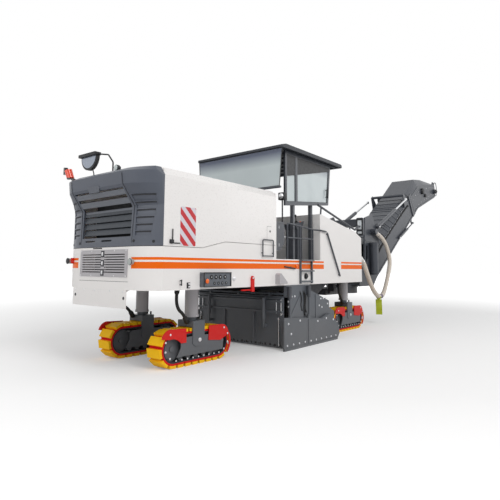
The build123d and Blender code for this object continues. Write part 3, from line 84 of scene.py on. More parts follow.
def linear(red, green, blue):
    """Linear colour from three display values of 0 to 255."""
    def channel(value):
        share = value / 255
        return share / 12.92 if share <= 0.04045 else ((share + 0.055) / 1.055) ** 2.4
    return (channel(red), channel(green), channel(blue), 1.0)


class PlanerColours(bpy.types.PropertyGroup):
    """Colours of the finishes"""

    white_paint: bpy.props.FloatVectorProperty(
        name="White paint", description="Body panels", subtype="COLOR", size=4, min=0, max=1,
        default=linear(241, 238, 236))
    orange_stripe: bpy.props.FloatVectorProperty(
        name="Orange stripe", description="Stripes along the body", subtype="COLOR", size=4, min=0, max=1,
        default=linear(245, 106, 0))
    hazard_red: bpy.props.FloatVectorProperty(
        name="Hazard red", description="Red steel parts and link plates", subtype="COLOR", size=4, min=0, max=1,
        default=linear(216, 16, 10))
    slate_plastic: bpy.props.FloatVectorProperty(
        name="Slate plastic", description="Rear hood", subtype="COLOR", size=4, min=0, max=1,
        default=linear(84, 89, 100))
    frame_paint: bpy.props.FloatVectorProperty(
        name="Frame paint", description="Steel structure", subtype="COLOR", size=4, min=0, max=1,
        default=linear(82, 88, 96))
    dark_paint: bpy.props.FloatVectorProperty(
        name="Dark paint", description="Rails, mast and conveyor", subtype="COLOR", size=4, min=0, max=1,
        default=linear(62, 66, 74))
    light_steel: bpy.props.FloatVectorProperty(
        name="Light steel", description="Leg sleeves and louvred panels", subtype="COLOR", size=4, min=0, max=1,
        default=linear(182, 179, 182))
    pad_yellow: bpy.props.FloatVectorProperty(
        name="Pad yellow", description="Track pads", subtype="COLOR", size=4, min=0, max=1,
        default=linear(255, 198, 16))
    glass_tint: bpy.props.FloatVectorProperty(
        name="Glass tint", description="Canopy windows", subtype="COLOR", size=4, min=0, max=1,
        default=linear(200, 210, 212))
    hose_cloth: bpy.props.FloatVectorProperty(
        name="Hose cloth", description="Dust hose", subtype="COLOR", size=4, min=0, max=1,
        default=linear(222, 211, 198))


class PlanerSizes(bpy.types.PropertyGroup):
    """Sizes of the stripes, the track's link plates and the dust hose"""

    thick_stripe_low: bpy.props.FloatProperty(
        name="Thick stripe, lower edge", description="Height above the ground", default=1.523, unit="LENGTH")
    thick_stripe_high: bpy.props.FloatProperty(
        name="Thick stripe, upper edge", description="Height above the ground", default=1.620, unit="LENGTH")
    thin_stripe_low: bpy.props.FloatProperty(
        name="Thin stripe, lower edge", description="Height above the ground", default=1.648, unit="LENGTH")
    thin_stripe_high: bpy.props.FloatProperty(
        name="Thin stripe, upper edge", description="Height above the ground", default=1.688, unit="LENGTH")
    stripe_gap_start: bpy.props.FloatProperty(
        name="Start of the stripes' gap", description="Distance from the rear face", default=4.70,
        unit="LENGTH")
    stripe_gap_end: bpy.props.FloatProperty(
        name="End of the stripes' gap", description="Distance from the rear face", default=5.49,
        unit="LENGTH")
    link_plate_low: bpy.props.FloatProperty(
        name="Link plates, inner edge", description="Distance from the track loop's middle line",
        default=0.212, unit="LENGTH")
    link_plate_high: bpy.props.FloatProperty(
        name="Link plates, outer edge", description="Distance from the track loop's middle line",
        default=0.243, unit="LENGTH")
    hazard_pitch: bpy.props.FloatProperty(
        name="Hazard stripe pitch", description="Height from one red stripe to the next",
        default=0.2, unit="LENGTH")
    hose_diameter: bpy.props.FloatProperty(
        name="Dust hose", description="Diameter of the dust hose", default=0.12, unit="LENGTH")


def node_group(name, inputs, outputs):
    """Empty shader node group with named sockets, each given as name, kind and default."""
    tree = bpy.data.node_groups.new(name, "ShaderNodeTree")
    for socket_name, kind, default in inputs:
        socket = tree.interface.new_socket(name=socket_name, in_out="INPUT", socket_type=kind)
        socket.default_value = default
    for socket_name, kind in outputs:
        tree.interface.new_socket(name=socket_name, in_out="OUTPUT", socket_type=kind)
    return tree, tree.nodes.new("NodeGroupInput"), tree.nodes.new("NodeGroupOutput")


def feed(tree, socket, value):
    """Gives an input socket a link or a plain value."""
    if isinstance(value, bpy.types.NodeSocket):
        tree.links.new(value, socket)
    else:
        socket.default_value = value


def math_node(tree, operation, first, second=None):
    """Math node fed by sockets or numbers; returns its result."""
    node = tree.nodes.new("ShaderNodeMath")
    node.operation = operation
    feed(tree, node.inputs[0], first)
    if second is not None:
        feed(tree, node.inputs[1], second)
    return node.outputs[0]


def mix_colour(tree, share, first, second):
    """Mix of two colours by a mask; returns its result."""
    node = tree.nodes.new("ShaderNodeMix")
    node.data_type = "RGBA"
    for index, value in ((0, share), (6, first), (7, second)):
        feed(tree, node.inputs[index], value)
    return node.outputs[2]


def noise(tree, vector, scale, detail=3.0):
    """Noise value over a vector."""
    node = tree.nodes.new("ShaderNodeTexNoise")
    node.inputs["Scale"].default_value = scale
    node.inputs["Detail"].default_value = detail
    tree.links.new(vector, node.inputs["Vector"])
    return node.outputs["Fac"]


def surface_place(tree):
    """Place on the surface: the vector and its X, Y and Z."""
    place = tree.nodes.new("ShaderNodeTexCoord").outputs["Object"]
    split = tree.nodes.new("ShaderNodeSeparateXYZ")
    tree.links.new(place, split.inputs[0])
    return (place, *split.outputs)


def band(tree, value, low, high):
    """Mask that is 1 between two limits of a value."""
    return math_node(tree, "MULTIPLY", math_node(tree, "GREATER_THAN", value, low),
                     math_node(tree, "LESS_THAN", value, high))


def make_paint_group():
    """Painted sheet: faint unevenness of tone, dust low down and fine orange peel."""
    tree, given, result = node_group(
        "painted_sheet",
        [("Colour", "NodeSocketColor", (0.8, 0.8, 0.8, 1)), ("Dust", "NodeSocketColor", (0.4, 0.36, 0.3, 1)),
         ("Dust Share", "NodeSocketFloat", 0.1), ("Dust Height", "NodeSocketFloat", 1.2),
         ("Tone", "NodeSocketFloat", 0.04), ("Gloss", "NodeSocketFloat", 0.35)],
        [("Colour", "NodeSocketColor"), ("Roughness", "NodeSocketFloat"), ("Height", "NodeSocketFloat")])
    place, _, _, height = surface_place(tree)
    broad = noise(tree, place, 1.3, 4.0)
    fine = noise(tree, place, 38.0, 2.0)
    low = math_node(tree, "SUBTRACT", 1.0, math_node(tree, "DIVIDE", height, given.outputs["Dust Height"]))
    low = math_node(tree, "MAXIMUM", low, 0.0)
    patch = math_node(tree, "MULTIPLY", low, math_node(tree, "ADD", broad, 0.25))
    share = math_node(tree, "MULTIPLY", patch, given.outputs["Dust Share"])
    share = math_node(tree, "MINIMUM", share, 1.0)
    shift = math_node(tree, "MULTIPLY", math_node(tree, "SUBTRACT", broad, 0.5), given.outputs["Tone"])
    tone = tree.nodes.new("ShaderNodeHueSaturation")
    tree.links.new(math_node(tree, "ADD", 1.0, shift), tone.inputs["Value"])
    tree.links.new(given.outputs["Colour"], tone.inputs["Color"])
    tree.links.new(mix_colour(tree, share, tone.outputs[0], given.outputs["Dust"]), result.inputs["Colour"])
    rough = math_node(tree, "ADD", given.outputs["Gloss"], math_node(tree, "MULTIPLY", share, 0.4))
    grain = math_node(tree, "MULTIPLY", math_node(tree, "SUBTRACT", fine, 0.5), 0.06)
    tree.links.new(math_node(tree, "ADD", rough, grain), result.inputs["Roughness"])
    tree.links.new(fine, result.inputs["Height"])


def make_edge_group():
    """Worn edges: a mask from the surface's own curvature, broken up by noise."""
    tree, given, result = node_group(
        "worn_edges",
        [("Amount", "NodeSocketFloat", 0.5), ("Scale", "NodeSocketFloat", 20.0)],
        [("Mask", "NodeSocketFloat")])
    point = tree.nodes.new("ShaderNodeNewGeometry").outputs["Pointiness"]
    grain = tree.nodes.new("ShaderNodeTexNoise")
    tree.links.new(surface_place(tree)[0], grain.inputs["Vector"])
    tree.links.new(given.outputs["Scale"], grain.inputs["Scale"])
    ridge = math_node(tree, "MULTIPLY", math_node(tree, "SUBTRACT", point, 0.52), 14.0)
    patches = math_node(tree, "MULTIPLY", grain.outputs["Fac"], given.outputs["Amount"])
    mask = tree.nodes.new("ShaderNodeClamp")
    tree.links.new(math_node(tree, "MULTIPLY", ridge, patches), mask.inputs[0])
    tree.links.new(mask.outputs[0], result.inputs["Mask"])


def new_material(name, metallic=0.0, coat=0.0):
    """Material with an empty principled shader."""
    material = bpy.data.materials.new(name)
    material.use_nodes = True
    shader = material.node_tree.nodes["Principled BSDF"]
    shader.inputs["Metallic"].default_value = metallic
    shader.inputs["Coat Weight"].default_value = coat
    shader.inputs["Coat Roughness"].default_value = 0.15
    shader.inputs["IOR"].default_value = 1.45
    return material, shader


def painted(name, colour, gloss, coat, tone, worn=0.0, dust_share=0.12, dust_height=1.3, metallic=0.0,
            grain=0.0004, colour_socket=None, mirror_share=0.5):
    """Painted or moulded surface with its own values in the shared groups."""
    material, shader = new_material(name, metallic, coat)
    shader.inputs["Specular IOR Level"].default_value = mirror_share
    tree = material.node_tree
    sheet = tree.nodes.new("ShaderNodeGroup")
    sheet.node_tree = bpy.data.node_groups["painted_sheet"]
    for socket, value in (("Colour", colour), ("Dust", linear(150, 142, 132)), ("Dust Share", dust_share),
                          ("Dust Height", dust_height), ("Tone", tone), ("Gloss", gloss)):
        sheet.inputs[socket].default_value = value
    if colour_socket is not None:
        tree.links.new(colour_socket(tree), sheet.inputs["Colour"])
    edges = tree.nodes.new("ShaderNodeGroup")
    edges.node_tree = bpy.data.node_groups["worn_edges"]
    edges.inputs["Amount"].default_value = worn
    bare = linear(168, 168, 170)
    tree.links.new(mix_colour(tree, edges.outputs["Mask"], sheet.outputs["Colour"], bare),
                   shader.inputs["Base Color"])
    tree.links.new(sheet.outputs["Roughness"], shader.inputs["Roughness"])
    peel = tree.nodes.new("ShaderNodeBump")
    peel.inputs["Strength"].default_value = 1.0
    peel.inputs["Distance"].default_value = grain
    tree.links.new(sheet.outputs["Height"], peel.inputs["Height"])
    tree.links.new(peel.outputs[0], shader.inputs["Normal"])


def stripe_colour(tree):
    """White paint with the two orange stripes, which break off at the gap and stay on the outer faces."""
    colours, sizes = bpy.context.scene.planer_colours, bpy.context.scene.planer_sizes
    side_face, rear_depth, middle_half_width = 1.169, 0.20, 0.70
    _, x, y, z = surface_place(tree)
    stripes = math_node(tree, "ADD", band(tree, z, sizes.thick_stripe_low, sizes.thick_stripe_high),
                        band(tree, z, sizes.thin_stripe_low, sizes.thin_stripe_high))
    along = math_node(tree, "ADD", math_node(tree, "LESS_THAN", x, rear_x + sizes.stripe_gap_start),
                      math_node(tree, "GREATER_THAN", x, rear_x + sizes.stripe_gap_end))
    width = math_node(tree, "ABSOLUTE", y)
    outside = math_node(tree, "MAXIMUM", math_node(tree, "GREATER_THAN", width, side_face),
                        math_node(tree, "LESS_THAN", x, rear_x + rear_depth))
    off_middle = math_node(tree, "GREATER_THAN", width, middle_half_width)
    mask = math_node(tree, "MULTIPLY", math_node(tree, "MULTIPLY", stripes, along),
                     math_node(tree, "MULTIPLY", off_middle, outside))
    return mix_colour(tree, mask, tuple(colours.white_paint), tuple(colours.orange_stripe))


def hazard_colour(tree):
    """Red and white slanting stripes."""
    _, x, y, z = surface_place(tree)
    slant = math_node(tree, "ADD", math_node(tree, "ADD", x, math_node(tree, "ABSOLUTE", y)), z)
    turns = math_node(tree, "DIVIDE", slant, bpy.context.scene.planer_sizes.hazard_pitch)
    red = math_node(tree, "GREATER_THAN", math_node(tree, "FRACT", turns), 0.48)
    return mix_colour(tree, red, linear(216, 212, 220), linear(196, 34, 44))


def slat_lit_and_shaded(tree):
    """The two upper slats are painted pale as lit, the lower ones dark as painted shade."""
    upper = math_node(tree, "GREATER_THAN", surface_place(tree)[3], 2.395)
    return mix_colour(tree, upper, linear(56, 62, 70), linear(110, 114, 122))


def beacon_colour(tree):
    """Orange-red lamp on a dark foot, beside a black lamp."""
    foot_top, black_lamp_start = 3.052, 1.158
    _, _, y, z = surface_place(tree)
    lit = math_node(tree, "MULTIPLY", math_node(tree, "GREATER_THAN", z, foot_top),
                    math_node(tree, "LESS_THAN", y, black_lamp_start))
    return mix_colour(tree, lit, linear(30, 31, 34), linear(238, 74, 40))


def lamp_colour(tree):
    """Red block beside the clear rear lamps."""
    red = band(tree, surface_place(tree)[2], 0.88, 0.9155)
    return mix_colour(tree, red, linear(168, 174, 172), linear(214, 34, 24))


def track_colour(tree):
    """Dark links inside, thin red link plates, yellow pads outside, by distance from the loop's line."""
    colours, sizes = bpy.context.scene.planer_colours, bpy.context.scene.planer_sizes
    _, x, _, z = surface_place(tree)
    from_middle = math_node(tree, "ABSOLUTE", math_node(tree, "SUBTRACT", x, track_middle_x))
    along = math_node(tree, "ABSOLUTE", math_node(tree, "SUBTRACT", from_middle, track_half_spacing))
    past_straight = math_node(tree, "MAXIMUM", math_node(tree, "SUBTRACT", along, track_half_straight), 0.0)
    height = math_node(tree, "SUBTRACT", z, track_centre_z)
    squared = math_node(tree, "ADD", math_node(tree, "MULTIPLY", past_straight, past_straight),
                        math_node(tree, "MULTIPLY", height, height))
    distance = math_node(tree, "SQRT", squared)
    red = math_node(tree, "GREATER_THAN", distance, sizes.link_plate_low)
    yellow = math_node(tree, "GREATER_THAN", distance, sizes.link_plate_high)
    inner = mix_colour(tree, red, linear(52, 54, 60), tuple(colours.hazard_red))
    return mix_colour(tree, yellow, inner, tuple(colours.pad_yellow))


def make_glass(colours):
    """Tinted window glass, darker towards its top as painted shade under the roof."""
    material, shader = new_material("window_glass")
    tree = material.node_tree
    place, _, _, height = surface_place(tree)
    # Darker band near the roof: painted shade on the glass
    roof_shade_band = tree.nodes.new("ShaderNodeMapRange")
    roof_shade_band.inputs["From Min"].default_value = 3.58
    roof_shade_band.inputs["From Max"].default_value = 3.84
    tree.links.new(height, roof_shade_band.inputs["Value"])
    tree.links.new(mix_colour(tree, roof_shade_band.outputs[0], tuple(colours.glass_tint), linear(104, 112, 132)),
                   shader.inputs["Base Color"])
    shader.inputs["Roughness"].default_value = 0.08
    alpha = math_node(tree, "ADD", 0.78, math_node(tree, "MULTIPLY", noise(tree, place, 2.0), 0.12))
    tree.links.new(alpha, shader.inputs["Alpha"])


def make_finishes(colours):
    """Builds the shared groups and every material."""
    make_paint_group()
    make_edge_group()
    white, red, yellow = tuple(colours.white_paint), tuple(colours.hazard_red), tuple(colours.pad_yellow)
    light_steel = tuple(colours.light_steel)
    for name, colour, gloss, coat, tone, more in (
        # name, colour, roughness, coat, unevenness of tone, further values
        ("white_sheet", white, 0.28, 0.35, 0.03, {}),
        ("striped_panel", white, 0.36, 0.05, 0.03, {"colour_socket": stripe_colour, "mirror_share": 0.2}),
        ("hazard_plate", white, 0.3, 0.2, 0.02, {"dust_share": 0.03, "colour_socket": hazard_colour}),
        ("slate_hood", tuple(colours.slate_plastic), 0.42, 0.1, 0.08, {"worn": 0.1}),
        # Grille slats, pale above and dark below as painted light and shade
        ("slat_grey", linear(104, 109, 117), 0.5, 0.0, 0.06, {"worn": 0.03, "colour_socket": slat_lit_and_shaded}),
        ("roof_paint", linear(44, 48, 55), 0.5, 0.0, 0.1, {"worn": 0.03}),
        ("louvre_metal", light_steel, 0.4, 0.1, 0.05, {"worn": 0.07}),
        ("leg_paint", light_steel, 0.38, 0.1, 0.04, {"worn": 0.07, "dust_share": 0.02}),
        ("frame_paint", tuple(colours.frame_paint), 0.42, 0.15, 0.14, {"worn": 0.07, "dust_share": 0.25}),
        ("dark_paint", tuple(colours.dark_paint), 0.4, 0.15, 0.14, {"worn": 0.07, "dust_share": 0.2}),
        ("red_steel", red, 0.38, 0.05, 0.08, {"worn": 0.03, "dust_share": 0.03, "mirror_share": 0.25}),
        ("yellow_pads", yellow, 0.55, 0.0, 0.12, {
            "dust_share": 0.05, "dust_height": 0.4, "colour_socket": track_colour, "mirror_share": 0.2}),
        ("black_plastic", linear(28, 29, 32), 0.5, 0.0, 0.1, {"worn": 0.05}),
        ("black_rubber", linear(24, 24, 26), 0.65, 0.0, 0.15, {}),
        # Dark material of the seams, and of the painted shade along the hood's vents and in the rear openings
        ("dark_seams_and_painted_shade", linear(58, 58, 62), 0.7, 0.0, 0.02, {"dust_share": 0.02}),
        ("engine_paint", linear(46, 48, 52), 0.55, 0.0, 0.2, {"worn": 0.07}),
        ("drum_steel", linear(92, 86, 82), 0.5, 0.0, 0.3, {"worn": 0.8, "metallic": 0.6}),
        ("bright_steel", linear(205, 206, 208), 0.18, 0.0, 0.04, {"metallic": 1.0, "dust_share": 0.03}),
        ("zinc_bolt", linear(232, 232, 234), 0.3, 0.0, 0.05, {"metallic": 0.35, "dust_share": 0.03}),
        ("mirror_glass", linear(150, 158, 172), 0.12, 0.4, 0.05, {"metallic": 0.6, "dust_share": 0.02}),
        # Pale front mirror glass: painted reflection of the white surroundings
        ("mirror_painted_reflection", linear(228, 234, 238), 0.1, 0.5, 0.02, {"metallic": 0.3, "dust_share": 0.01}),
        ("lamp_clear", linear(196, 206, 206), 0.1, 0.8, 0.03, {}),
        ("beacon_parts", linear(226, 62, 34), 0.15, 0.6, 0.03, {
            "dust_share": 0.02, "colour_socket": beacon_colour}),
        ("lamp_parts", linear(226, 62, 34), 0.12, 0.6, 0.03, {
            "dust_share": 0.02, "colour_socket": lamp_colour}),
        ("knob_orange", tuple(colours.orange_stripe), 0.3, 0.3, 0.02, {"dust_share": 0.02}),
        ("hose_fabric", tuple(colours.hose_cloth), 0.8, 0.0, 0.08, {"grain": 0.0015}),
        ("strap_purple", linear(122, 114, 132), 0.7, 0.0, 0.1, {}),
        ("tag_green", linear(172, 184, 22), 0.5, 0.0, 0.05, {"dust_share": 0.03}),
    ):
        painted(name, colour, gloss, coat, tone, **more)
    make_glass(colours)


# Finish of each part of the frame
FINISH_NODES = {
    "white_sheet": ("engine_hood", "rear_plate", "bulkhead"),
    "striped_panel": ("rear_skirt", "side_sills", "front_body"),
    "slate_hood": ("rear_hood",),
    "slat_grey": ("grille_slats",),
    "louvre_metal": ("rear_louvre",),
    "leg_paint": ("leg_sleeves",),
    "roof_paint": ("canopy_roof",),
    "frame_paint": ("chassis_frame", "platform_deck", "drum_housing", "access_ladders", "control_boxes",
                    "side_plate_right", "side_plate_left", "scraper_blade",
                    *(f"track_frame_{corner}" for corner in CORNERS)),
    "dark_paint": ("plate_cylinders", "canopy_frame", "platform_rails", "front_rails", "operator_consoles",
                   "primary_conveyor", "conveyor_console", "slewing_mast", "conveyor_trunk", "conveyor_head",
                   "stay_barrels"),
    "red_steel": ("lifting_eyes", *(f"track_guards_{corner}" for corner in CORNERS)),
    "yellow_pads": tuple(f"track_{corner}" for corner in CORNERS),
    "black_plastic": ("cooler_pack", "hood_mirror"),
    "engine_paint": ("engine_block",),
    "drum_steel": ("milling_drum",),
    "bright_steel": ("stay_rods",),
    "beacon_parts": ("hood_beacon",),
    "lamp_parts": ("rear_lamps",),
    "window_glass": ("canopy_glass",),
    "hose_fabric": ("dust_hose",),
}


def at(distance, y, z):
    """Point given by its distance from the rear face."""
    return Vector((rear_x + distance, y, z))


def on_trunk(forward, y, up):
    """Point measured along and above the conveyor's lift axis."""
    axis_distance, axis_height, rise = 8.42, 1.45, math.radians(33)
    return at(axis_distance + forward * math.cos(rise) - up * math.sin(rise), y,
              axis_height + forward * math.sin(rise) + up * math.cos(rise))


def touch(node, start, direction):
    """Place and outward direction where a line first meets a part of the frame, or nothing."""
    met, place, normal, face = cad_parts[node].ray_cast(start, direction)
    return (place, normal) if met else None


def add_box(build, low, high, chamfer):
    """Box with rounded edges between two corners."""
    low, high = Vector(low), Vector(high)
    made = bmesh.ops.create_cube(build, size=1.0)["verts"]
    bmesh.ops.scale(build, vec=high - low, verts=made)
    bmesh.ops.translate(build, vec=(low + high) / 2, verts=made)
    edges = list({edge for vertex in made for edge in vertex.link_edges})
    limit = min(high - low) * 0.45
    bmesh.ops.bevel(build, geom=edges, offset=min(chamfer, limit), segments=2, profile=0.5, affect="EDGES")


def skin(build, rings):
    """Faces between neighbouring rings, and one over each end."""
    count = len(rings[0])
    for lower, upper in zip(rings, rings[1:]):
        for step in range(count):
            after = (step + 1) % count
            build.faces.new((lower[step], lower[after], upper[after], upper[step]))
    build.faces.new(rings[0][::-1])
    build.faces.new(rings[-1])


def add_turned(build, centre, axis, profile, sides=24):
    """Round part from pairs of distance along the axis and radius."""
    centre = Vector(centre)
    turn = Vector(axis).to_track_quat("Z", "Y").to_matrix()
    rings = []
    for along, radius in profile:
        ring = []
        for step in range(sides):
            angle = 2 * math.pi * step / sides
            spot = Vector((radius * math.cos(angle), radius * math.sin(angle), along))
            ring.append(build.verts.new(centre + turn @ spot))
        rings.append(ring)
    skin(build, rings)


def add_rod(build, start, end, radius, sides=16):
    """Round bar with slightly rounded ends."""
    start, end = Vector(start), Vector(end)
    length = (end - start).length
    edge = min(radius * 0.2, length * 0.2)
    add_turned(build, start, end - start,
               [(0, radius - edge), (edge, radius), (length - edge, radius), (length, radius - edge)], sides)


def add_bolt(build, centre, axis, radius):
    """Hexagonal bolt head on its washer."""
    add_turned(build, centre, axis,
               [(-0.003, radius * 1.5), (radius * 0.2, radius * 1.5), (radius * 0.25, radius * 1.4)], 18)
    add_turned(build, centre, axis, [(0, radius), (radius * 0.75, radius), (radius * 0.9, radius * 0.8)], 6)


def sweep(build, points, radii, sides):
    """Tube along points, with a radius for each of them."""
    rings = []
    side = None
    for index, (point, radius) in enumerate(zip(points, radii)):
        ahead = points[min(index + 1, len(points) - 1)] - points[max(index - 1, 0)]
        ahead.normalize()
        if side is None:
            side = ahead.orthogonal().normalized()
        side = (side - ahead * side.dot(ahead)).normalized()
        other = ahead.cross(side)
        ring = []
        for step in range(sides):
            angle = 2 * math.pi * step / sides
            spot = side * math.cos(angle) + other * math.sin(angle)
            ring.append(build.verts.new(point + spot * radius))
        rings.append(ring)
    skin(build, rings)


def smooth_line(points, steps):
    """Points read from a NURBS line that has the given points as its control points."""
    curve = bpy.data.curves.new("route", "CURVE")
    curve.dimensions = "3D"
    curve.resolution_u = steps
    spline = curve.splines.new("NURBS")
    spline.points.add(len(points) - 1)
    for target, point in zip(spline.points, points):
        target.co = (*point, 1.0)
    spline.order_u = 3
    spline.use_endpoint_u = True
    line = bpy.data.objects.new("route", curve)
    mesh = bpy.data.meshes.new_from_object(line)
    found = [vertex.co.copy() for vertex in mesh.vertices]
    bpy.data.meshes.remove(mesh)
    bpy.data.objects.remove(line)
    bpy.data.curves.remove(curve)
    return found


def add_hose(build, points, radius, sides=10):
    """Small pressure hose through control points, with a crimped sleeve at each end."""
    line = smooth_line(points, 8)
    sweep(build, line, [radius] * len(line), sides)
    for tip, inner in ((line[0], line[2]), (line[-1], line[-3])):
        run = (inner - tip).normalized()
        add_turned(build, tip - run * radius * 0.5, run,
                   [(0, radius * 1.2), (radius, radius * 1.6), (radius * 4, radius * 1.6),
                    (radius * 5, radius * 1.1)], 12)


def add_slab(build, outline, depth):
    """Flat plate: an outline of points pushed along a vector."""
    depth = Vector(depth)
    near = [build.verts.new(Vector(point)) for point in outline]
    far = [build.verts.new(Vector(point) + depth) for point in outline]
    build.faces.new(near)
    build.faces.new(far[::-1])
    for index in range(len(outline)):
        after = (index + 1) % len(outline)
        build.faces.new((near[index], far[index], far[after], near[after]))


def add_frame(build, corners, radius):
    """Round edging along the sides of a closed outline."""
    for start, end in zip(corners, corners[1:] + corners[:1]):
        add_rod(build, start, end, radius, 8)


def piece_from(build, name, finish, body=None, flat=False):
    """Object from a finished bmesh: it gets its material, and rides on a body where one is named."""
    bmesh.ops.recalc_face_normals(build, faces=build.faces)
    mesh = bpy.data.meshes.new(name)
    build.to_mesh(mesh)
    build.free()
    piece = bpy.data.objects.new(name, mesh)
    bpy.context.scene.collection.objects.link(piece)
    mesh.materials.append(bpy.data.materials[finish])
    if not flat:
        mesh.shade_smooth()
        mesh.set_sharp_from_angle(angle=math.radians(35))
    if body is not None:
        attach(piece, body)
    return piece


class PLANER_OT_stage(bpy.types.Operator):
    """Makes the camera, the lights, the floor and the pale surroundings"""

    bl_idname = "planer.stage"
    bl_label = "Stage"

    def make_camera(self, context):
        """Camera at the photograph's place and angles, measured from the machine's rear face."""
        place = Vector((rear_x - 4.1042, -6.2284, 1.5438))
        heading, rise, roll = math.radians(38.897), math.radians(6.262), math.radians(0.285)
        image_side, focal_pixels, axis_column, axis_row = 500, 458.906, 250.64, 217.31
        ahead = Vector((math.cos(heading) * math.cos(rise), math.sin(heading) * math.cos(rise), math.sin(rise)))
        level = Vector((math.sin(heading), -math.cos(heading), 0))
        upward = level.cross(ahead)
        right = level * math.cos(roll) + upward * math.sin(roll)
        above = upward * math.cos(roll) - level * math.sin(roll)
        camera_data = bpy.data.cameras.new("camera")
        camera_data.sensor_width = 36
        camera_data.lens = focal_pixels / image_side * camera_data.sensor_width
        camera_data.shift_x = (image_side / 2 - axis_column) / image_side
        camera_data.shift_y = (axis_row - image_side / 2) / image_side
        camera_data.clip_end = 500
        camera = bpy.data.objects.new("camera", camera_data)
        camera.matrix_world = Matrix((
            (right.x, above.x, -ahead.x, place.x),
            (right.y, above.y, -ahead.y, place.y),
            (right.z, above.z, -ahead.z, place.z),
            (0, 0, 0, 1)))
        context.scene.collection.objects.link(camera)
        context.scene.camera = camera

    def make_floor(self, context):
        """White floor that brightens away from the machine until it meets the surroundings."""
        half, near_radius, far_radius, near_glow = 120, 7.0, 26.0, 0.2
        mesh = bpy.data.meshes.new("floor")
        mesh.from_pydata([(-half, -half, 0), (half, -half, 0), (half, half, 0), (-half, half, 0)], [],
                         [(0, 1, 2, 3)])
        floor = bpy.data.objects.new("floor", mesh)
        context.scene.collection.objects.link(floor)
        material, shader = new_material("floor_white")
        tree = material.node_tree
        shader.inputs["Base Color"].default_value = (0.82, 0.82, 0.82, 1)
        shader.inputs["Roughness"].default_value = 0.9
        shader.inputs["Specular IOR Level"].default_value = 0.0
        shader.inputs["Emission Color"].default_value = (1, 1, 1, 1)
        reach = tree.nodes.new("ShaderNodeVectorMath")
        reach.operation = "LENGTH"
        tree.links.new(surface_place(tree)[0], reach.inputs[0])
        brighten = tree.nodes.new("ShaderNodeMapRange")
        for socket, value in (("From Min", near_radius), ("From Max", far_radius), ("To Min", near_glow),
                              ("To Max", 1.0)):
            brighten.inputs[socket].default_value = value
        tree.links.new(reach.outputs["Value"], brighten.inputs["Value"])
        seen = tree.nodes.new("ShaderNodeLightPath").outputs["Is Camera Ray"]
        tree.links.new(math_node(tree, "MULTIPLY", seen, brighten.outputs[0]),
                       shader.inputs["Emission Strength"])
        mesh.materials.append(material)

    def make_lights(self, context):
        """Three soft lamps."""
        for name, place, target, size, power in (
            ("key_light", (-9.0, -16.0, 15.0), (0, 0, 1), 9.0, 1500.0),
            ("fill_light", (-20.0, 2.0, 9.0), (-2, 0, 1), 10.0, 520.0),
            ("front_light", (14.0, -12.0, 9.0), (2, 0, 2), 10.0, 420.0),
        ):
            lamp = bpy.data.lights.new(name, "AREA")
            lamp.size = size
            lamp.energy = power
            lamp_object = bpy.data.objects.new(name, lamp)
            lamp_object.location = place
            lamp_object.rotation_euler = (Vector(target) - Vector(place)).to_track_quat("-Z", "Y").to_euler()
            context.scene.collection.objects.link(lamp_object)

    def make_world(self, context):
        """Surroundings that look white and light the machine at half that strength."""
        ambient = 0.5
        world = bpy.data.worlds.new("surroundings")
        context.scene.world = world
        world.use_nodes = True
        tree = world.node_tree
        background = tree.nodes["Background"]
        background.inputs["Color"].default_value = (1, 1, 1, 1)
        light_path = tree.nodes.new("ShaderNodeLightPath")
        seen = math_node(tree, "MAXIMUM", light_path.outputs["Is Camera Ray"],
                         light_path.outputs["Is Transmission Ray"])
        seen = math_node(tree, "MAXIMUM", seen, light_path.outputs["Is Glossy Ray"])
        tree.links.new(math_node(tree, "ADD", math_node(tree, "MULTIPLY", seen, 1.0 - ambient), ambient),
                       background.inputs["Strength"])

    def execute(self, context):
        self.make_camera(context)
        self.make_floor(context)
        self.make_lights(context)
        self.make_world(context)
        context.scene.view_settings.view_transform = "Standard"
        return {"FINISHED"}


class PLANER_OT_finishes(bpy.types.Operator):
    """Builds the materials and gives each part of the frame its finish"""

    bl_idname = "planer.finishes"
    bl_label = "Finishes"

    def execute(self, context):
        make_finishes(context.scene.planer_colours)
        for finish, nodes in FINISH_NODES.items():
            for node in nodes:
                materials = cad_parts[node].data.materials
                materials.clear()
                materials.append(bpy.data.materials[finish])
        return {"FINISHED"}


HOSE_ROUTE = (
    # distance from the rear face, y, z
    (6.647, -1.100, 1.780), (6.914, -1.062, 1.702), (7.186, -1.012, 1.446), (7.630, -0.930, 1.096),
    (8.010, -0.870, 0.867), (8.386, -0.820, 0.739), (8.738, -0.790, 0.778), (9.023, -0.770, 1.056),
    (9.284, -0.755, 1.435), (9.430, -0.750, 1.760), (9.279, -0.742, 2.110), (9.058, -0.735, 2.355),
    (8.700, -0.725, 2.520), (8.480, -0.716, 2.570),
)


